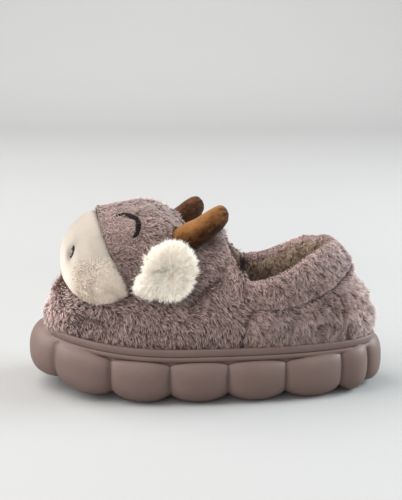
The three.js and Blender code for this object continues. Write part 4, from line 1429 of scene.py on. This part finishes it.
class SLIPPER_OT_eyes(bpy.types.Operator):
    """Embroiders the sleeping eyes and the nostrils in dark satin stitches"""

    bl_idname = "slipper.eyes"
    bl_label = "Eyes and nostrils"

    # The nostril's slit: half its length, and half its width in the middle.
    slit_half = 3.9
    slit_width = 2.3

    def execute(self, context):
        for side in ("left", "right"):
            self.eye(side)
            self.nostril(side)
        return {"FINISHED"}

    def eye(self, side):
        line, across, half = lash_line(side)
        line, out = on_surface(bpy.data.objects["face_skin"], line)
        across = lay_flat(across, out)
        name = f"eye_{side}_stitches"
        piece = stitched(name, line, across, out, half * 0.9, strand_mm=0.75, arch=0.7)
        hand_over(piece, [f"eye_{side}"])

    def nostril(self, side):
        t = np.linspace(-1, 1, 19)
        line = np.array(NOSTRILS[side]) + np.outer(t, NOSTRIL_SLANT) * self.slit_half
        line, out = on_surface(bpy.data.objects["muzzle_skin"], line)
        across = unit(np.cross(NOSTRIL_SLANT, out))
        half = self.slit_width * np.sqrt(1 - 0.9 * t**2)
        name = f"nostril_{side}_stitches"
        piece = stitched(name, line, across, out, half, strand_mm=0.5, arch=0.4)
        hand_over(piece)


# Each ear's root in millimetres, and the ways to its tip and out of its white side.
EARS = {
    "left": ((26.7, 42.1, 97.3), (-0.976, -0.216, 0.037), (-0.218, 0.973, -0.074)),
    "right": ((40.9, -47.2, 97.3), (-0.998, -0.061, 0.015), (-0.06, -0.995, -0.081)),
}

# The ear's edge: how far out it lies, in millimetres, at each angle in degrees from the tip upwards.
LEAF = (
    (0, 18.9), (25, 19.2), (50, 19.8), (75, 22), (90, 21), (112, 19.6), (135, 18.4), (160, 17.6),
    (180, 19.2), (200, 23.6), (215, 21.6), (250, 16.4), (290, 19.2), (325, 20.6), (360, 18.9),
)


class SLIPPER_OT_ears(bpy.types.Operator):
    """Covers the ears: long white pile in front, mauve plush behind"""

    bl_idname = "slipper.ears"
    bl_label = "Ears"

    # The solid leaf's half length, half height and squareness, where the pile is longest, and the
    # share of white fibres.
    half_length = 25.5
    half_height = 20.5
    squareness = 2.3
    long_length = 25
    long_height = 21
    white_share = 0.75

    def execute(self, context):
        plush = context.scene.slipper_plush
        for seed, (side, seat) in enumerate(EARS.items(), 71):
            self.ear(plush, side, map(np.array, seat), seed)
        return {"FINISHED"}

    def ear(self, plush, side, seat, seed):
        skin, points, out = skin_over(f"ear_{side}", f"ear_{side}_skin", voxel_mm=1.3, rounds=22)
        middle, along, facing = seat
        up = np.cross(facing, along)
        up *= np.sign(up[2])
        offset = points - middle
        x, z = offset @ along, offset @ up
        # The pinch runs from the root to the middle of the white side.
        crease = trough(away_from_path(np.column_stack([x, z]), ((-15, 6), (-2.5, 4.5))), 2.8)
        front = (out @ facing) > -0.4
        inset = 1.4 + 1.6 * crease * front - 0.3 * lumps(points, 12, seed)
        # The solid's locks are drawn in to the leaf's edge, where the pile stands for them.
        power = self.squareness
        reach = np.abs(x / self.half_length) ** power + np.abs(z / self.half_height) ** power
        reach = reach ** (1 / power)
        kept = (np.minimum(reach, 1) + 0.08 * np.maximum(reach - 1, 0)) / np.maximum(reach, 1e-6)
        turn = np.degrees(np.arctan2(z, x)) % 360
        own = np.hypot(x, z) / np.maximum(reach, 1e-6)
        kept *= read(LEAF, turn) / np.maximum(own, 1)
        points = points - np.outer(x * (1 - kept), along) - np.outer(z * (1 - kept), up)
        x, z = x * kept, z * kept
        out = press(skin, points, out, inset)
        # The pile spreads from the middle to the edge, and only partly lies down.
        spread = np.outer(x, along) + np.outer(z, up) + np.outer(np.full(len(x), -2.0), facing)
        flow = unit(spread) + 0.3 * wander(points, 9, seed + 1)
        store(skin, "comb", lay_flat(flow, out, share=0.85))
        far = np.hypot(x / self.long_length, z / self.long_height)
        # Painted shade in the pinch on the white side; darker towards the middle.
        store(skin, "shade", 1 - 0.35 * crease * front - 0.1 * (1 - smooth(far, 0.2, 0.8)))
        rim = 1 - np.abs(out @ facing)
        nap = 0.5 + 0.5 * smooth(far, 0.3, 0.9) - 0.15 * rim * rim - 0.2 * crease
        store(skin, "nap", np.clip(nap, 0.3, 1.0))
        free = ~covered_by(points, out, ("face", "upper"), 2.5)
        fibres = (int(plush.ear_fibres * self.white_share), plush.ear_pile)
        lie = {"Stand": 0.3, "Gather": 0.3, "Swirl": 0.5, "Width": 0.6 * MM, "Tuft": 2.4 * MM}
        name = f"ear_{side}_pile"
        grow(skin, name, front & free, "white ear plush", "White pile", *fibres, **lie, Seed=seed)
        fibres = (int(plush.ear_fibres * (1 - self.white_share)), plush.short_pile)
        lie = {"Stand": 0.2, "Gather": 0.2, "Seed": seed + 5}
        behind = (out @ facing) < -0.7
        name = f"ear_{side}_back_pile"
        grow(skin, name, behind & free, "mauve plush", "Mauve pile", *fibres, **lie)
        cover(skin, "Cream fabric", "Mauve fabric", second=~front)
        hand_over(skin, [f"ear_{side}"])


class SLIPPER_OT_horns(bpy.types.Operator):
    """Covers the stuffed horns in brown suede, gathered at the tips"""

    bl_idname = "slipper.horns"
    bl_label = "Horns"

    # How full the stuffing is, how many pleats gather at the tip, and where the far horn moves.
    fullness = 1.5
    pleat_count = 9
    far_shift = (2.5, 0, 3)

    def execute(self, context):
        for seed, side in enumerate(("left", "right"), 81):
            self.horn(side, seed, side == "right")
        return {"FINISHED"}

    def horn(self, side, seed, is_far):
        skin, points, out = skin_over(f"horn_{side}", f"horn_{side}_suede", voxel_mm=0.9, rounds=10)
        centred = points - points.mean(0)
        spread = np.linalg.svd(centred, full_matrices=False)[2]
        along = spread[0] * np.sign(spread[0] @ np.array([-1, 0, 1]))
        reach = centred @ along
        reach = (reach - reach.min()) / np.ptp(reach)
        around = np.arctan2(centred @ spread[1], centred @ spread[2])
        if is_far:
            # The far horn is stumpier.
            points = points - np.outer((reach - 0.1) * 8, along) + np.array(self.far_shift)
        pleats = np.sin(around * self.pleat_count + 2 * lumps(points, 8, seed))
        pleats *= smooth(reach, 0.86, 0.97)
        folds = lumps(points, 13, seed + 3)
        place(skin, points + out * (0.35 * pleats + 0.45 * folds + self.fullness)[:, None])
        # Painted light on top and painted shade underneath and over the whole far horn; darker at the
        # gathered tip, and uneven in lumps.
        shade = 0.3 + 0.75 * normals(skin)[:, 2] + 0.16 * lumps(points, 9, seed + 6)
        shade -= 0.45 * smooth(reach, 0.9, 1) + (0.8 if is_far else 0)
        store(skin, "shade", np.clip(shade, 0, 1))
        cover(skin, "Brown suede")
        hand_over(skin, [f"horn_{side}"])


class SLIPPER_OT_stage(bpy.types.Operator):
    """Sets the pale floor, the soft lights and the camera"""

    bl_idname = "slipper.stage"
    bl_label = "Stage"

    # The floor in metres: to each side, to the front and back, the bend up and the wall's top.
    reach = 7.0
    front = 2.5
    back = -1.6
    bend_radius = 0.8
    height = 2.6
    bend_steps = 12
    # What the lights point at in metres, and the camera in millimetres, with its sensor's width.
    light_aim = (0, 0, 0.06)
    camera_aim = (3.5, 0, 105.5)
    sensor_mm = 36

    def execute(self, context):
        stage = context.scene.slipper_stage
        self.floor()
        self.lights(stage)
        self.camera(context, stage)
        context.scene.view_settings.view_transform = "Standard"
        return {"FINISHED"}

    def floor(self):
        """A floor that curves up into a wall behind."""
        radius = self.bend_radius
        profile = [(self.front, 0), (self.back, 0)]
        for i in range(1, self.bend_steps + 1):
            turn = i / self.bend_steps * math.pi / 2
            profile.append((self.back - radius * math.sin(turn), radius * (1 - math.cos(turn))))
        profile.append((self.back - radius, self.height))
        points = [(x, y, z) for y, z in profile for x in (-self.reach, self.reach)]
        faces = [(2 * i, 2 * i + 2, 2 * i + 3, 2 * i + 1) for i in range(len(profile) - 1)]
        floor = mesh_object("studio_floor", points, faces)
        finish = Finish("Studio floor", roughness=0.7, specular=0.2)
        # Painted shade: the floor is darker near the shoe and lighter up the wall behind, to even out the
        # light that falls on them.
        far = finish.make.ramp(finish.make.separate(finish.place)[1], -0.35, -2.0)
        finish.colour(far, srgb(157, 156, 155), srgb(191, 190, 189))
        floor.data.materials.append(finish.material)

    def lights(self, stage):
        """Round lights, each with its place, its width, its power and its tint, and a pale room."""
        for name, place_m, size, power, tint in (
            ("Key", (1.0, -0.05, 1.3), 2.0, stage.key, (1, 0.985, 0.97)),
            ("Side", (1.7, 0.5, 0.4), 1.2, stage.side, (1, 0.99, 0.98)),
            ("Fill", (0.6, 1.8, 0.9), 1.4, stage.fill, (1, 1, 1)),
            ("Back", (-1.4, -0.2, 0.8), 1.0, stage.back, (0.85, 0.96, 1)),
        ):
            light = bpy.data.lights.new(name, "AREA")
            light.shape = "DISK"
            light.size = size
            light.energy = power
            light.color = tint
            lamp = link(bpy.data.objects.new(name, light))
            lamp.visible_camera = False
            lamp.location = place_m
            aim = Vector(self.light_aim) - Vector(place_m)
            lamp.rotation_euler = aim.to_track_quat("-Z", "Y").to_euler()
        world = bpy.data.worlds.new("Room")
        world.use_nodes = True
        sky = world.node_tree.nodes["Background"]
        sky.inputs["Color"].default_value = opaque((1.0, 0.99, 0.985))
        sky.inputs["Strength"].default_value = stage.ambient
        bpy.context.scene.world = world

    def camera(self, context, stage):
        """The view from the outer side, a little above the shoe."""
        aim = Vector(self.camera_aim) * MM
        back = Vector((0, math.cos(stage.elevation), math.sin(stage.elevation)))
        camera = bpy.data.cameras.new("Camera")
        camera.lens = stage.lens
        camera.sensor_width = self.sensor_mm
        camera.clip_start = 0.05
        view = link(bpy.data.objects.new("Camera", camera))
        view.location = aim + back * stage.distance
        view.rotation_euler = (-back).to_track_quat("-Z", "Y").to_euler()
        context.scene.camera = view


PIECES = (
    SLIPPER_OT_sole,
    SLIPPER_OT_insole,
    SLIPPER_OT_upper,
    SLIPPER_OT_collar,
    SLIPPER_OT_head,
    SLIPPER_OT_eyes,
    SLIPPER_OT_ears,
    SLIPPER_OT_horns,
    SLIPPER_OT_stage,
)


class SLIPPER_PT_panel(bpy.types.Panel):
    """The slipper's sizes, colours and pieces"""

    bl_label = "Slipper"
    bl_space_type = "VIEW_3D"
    bl_region_type = "UI"
    bl_category = "Slipper"

    def draw(self, context):
        for group in GROUPS:
            values = getattr(context.scene, group)
            box = self.layout.box()
            for name in values.__annotations__:
                box.prop(values, name)
        for piece in PIECES:
            self.layout.operator(piece.bl_idname)


GROUPS = {
    "slipper_sole": SlipperSole,
    "slipper_plush": SlipperPlush,
    "slipper_colours": SlipperColours,
    "slipper_stage": SlipperStage,
}
CLASSES = (*GROUPS.values(), *PIECES, SLIPPER_PT_panel)


def register():
    for made in CLASSES:
        bpy.utils.register_class(made)
    for name, made in GROUPS.items():
        setattr(bpy.types.Scene, name, PointerProperty(type=made))


def unregister():
    for name in GROUPS:
        delattr(bpy.types.Scene, name)
    for made in reversed(CLASSES):
        bpy.utils.unregister_class(made)


def main():
    register()
    for piece in PIECES:
        family, name = piece.bl_idname.split(".")
        getattr(getattr(bpy.ops, family), name)()


if __name__ == "__main__":
    main()
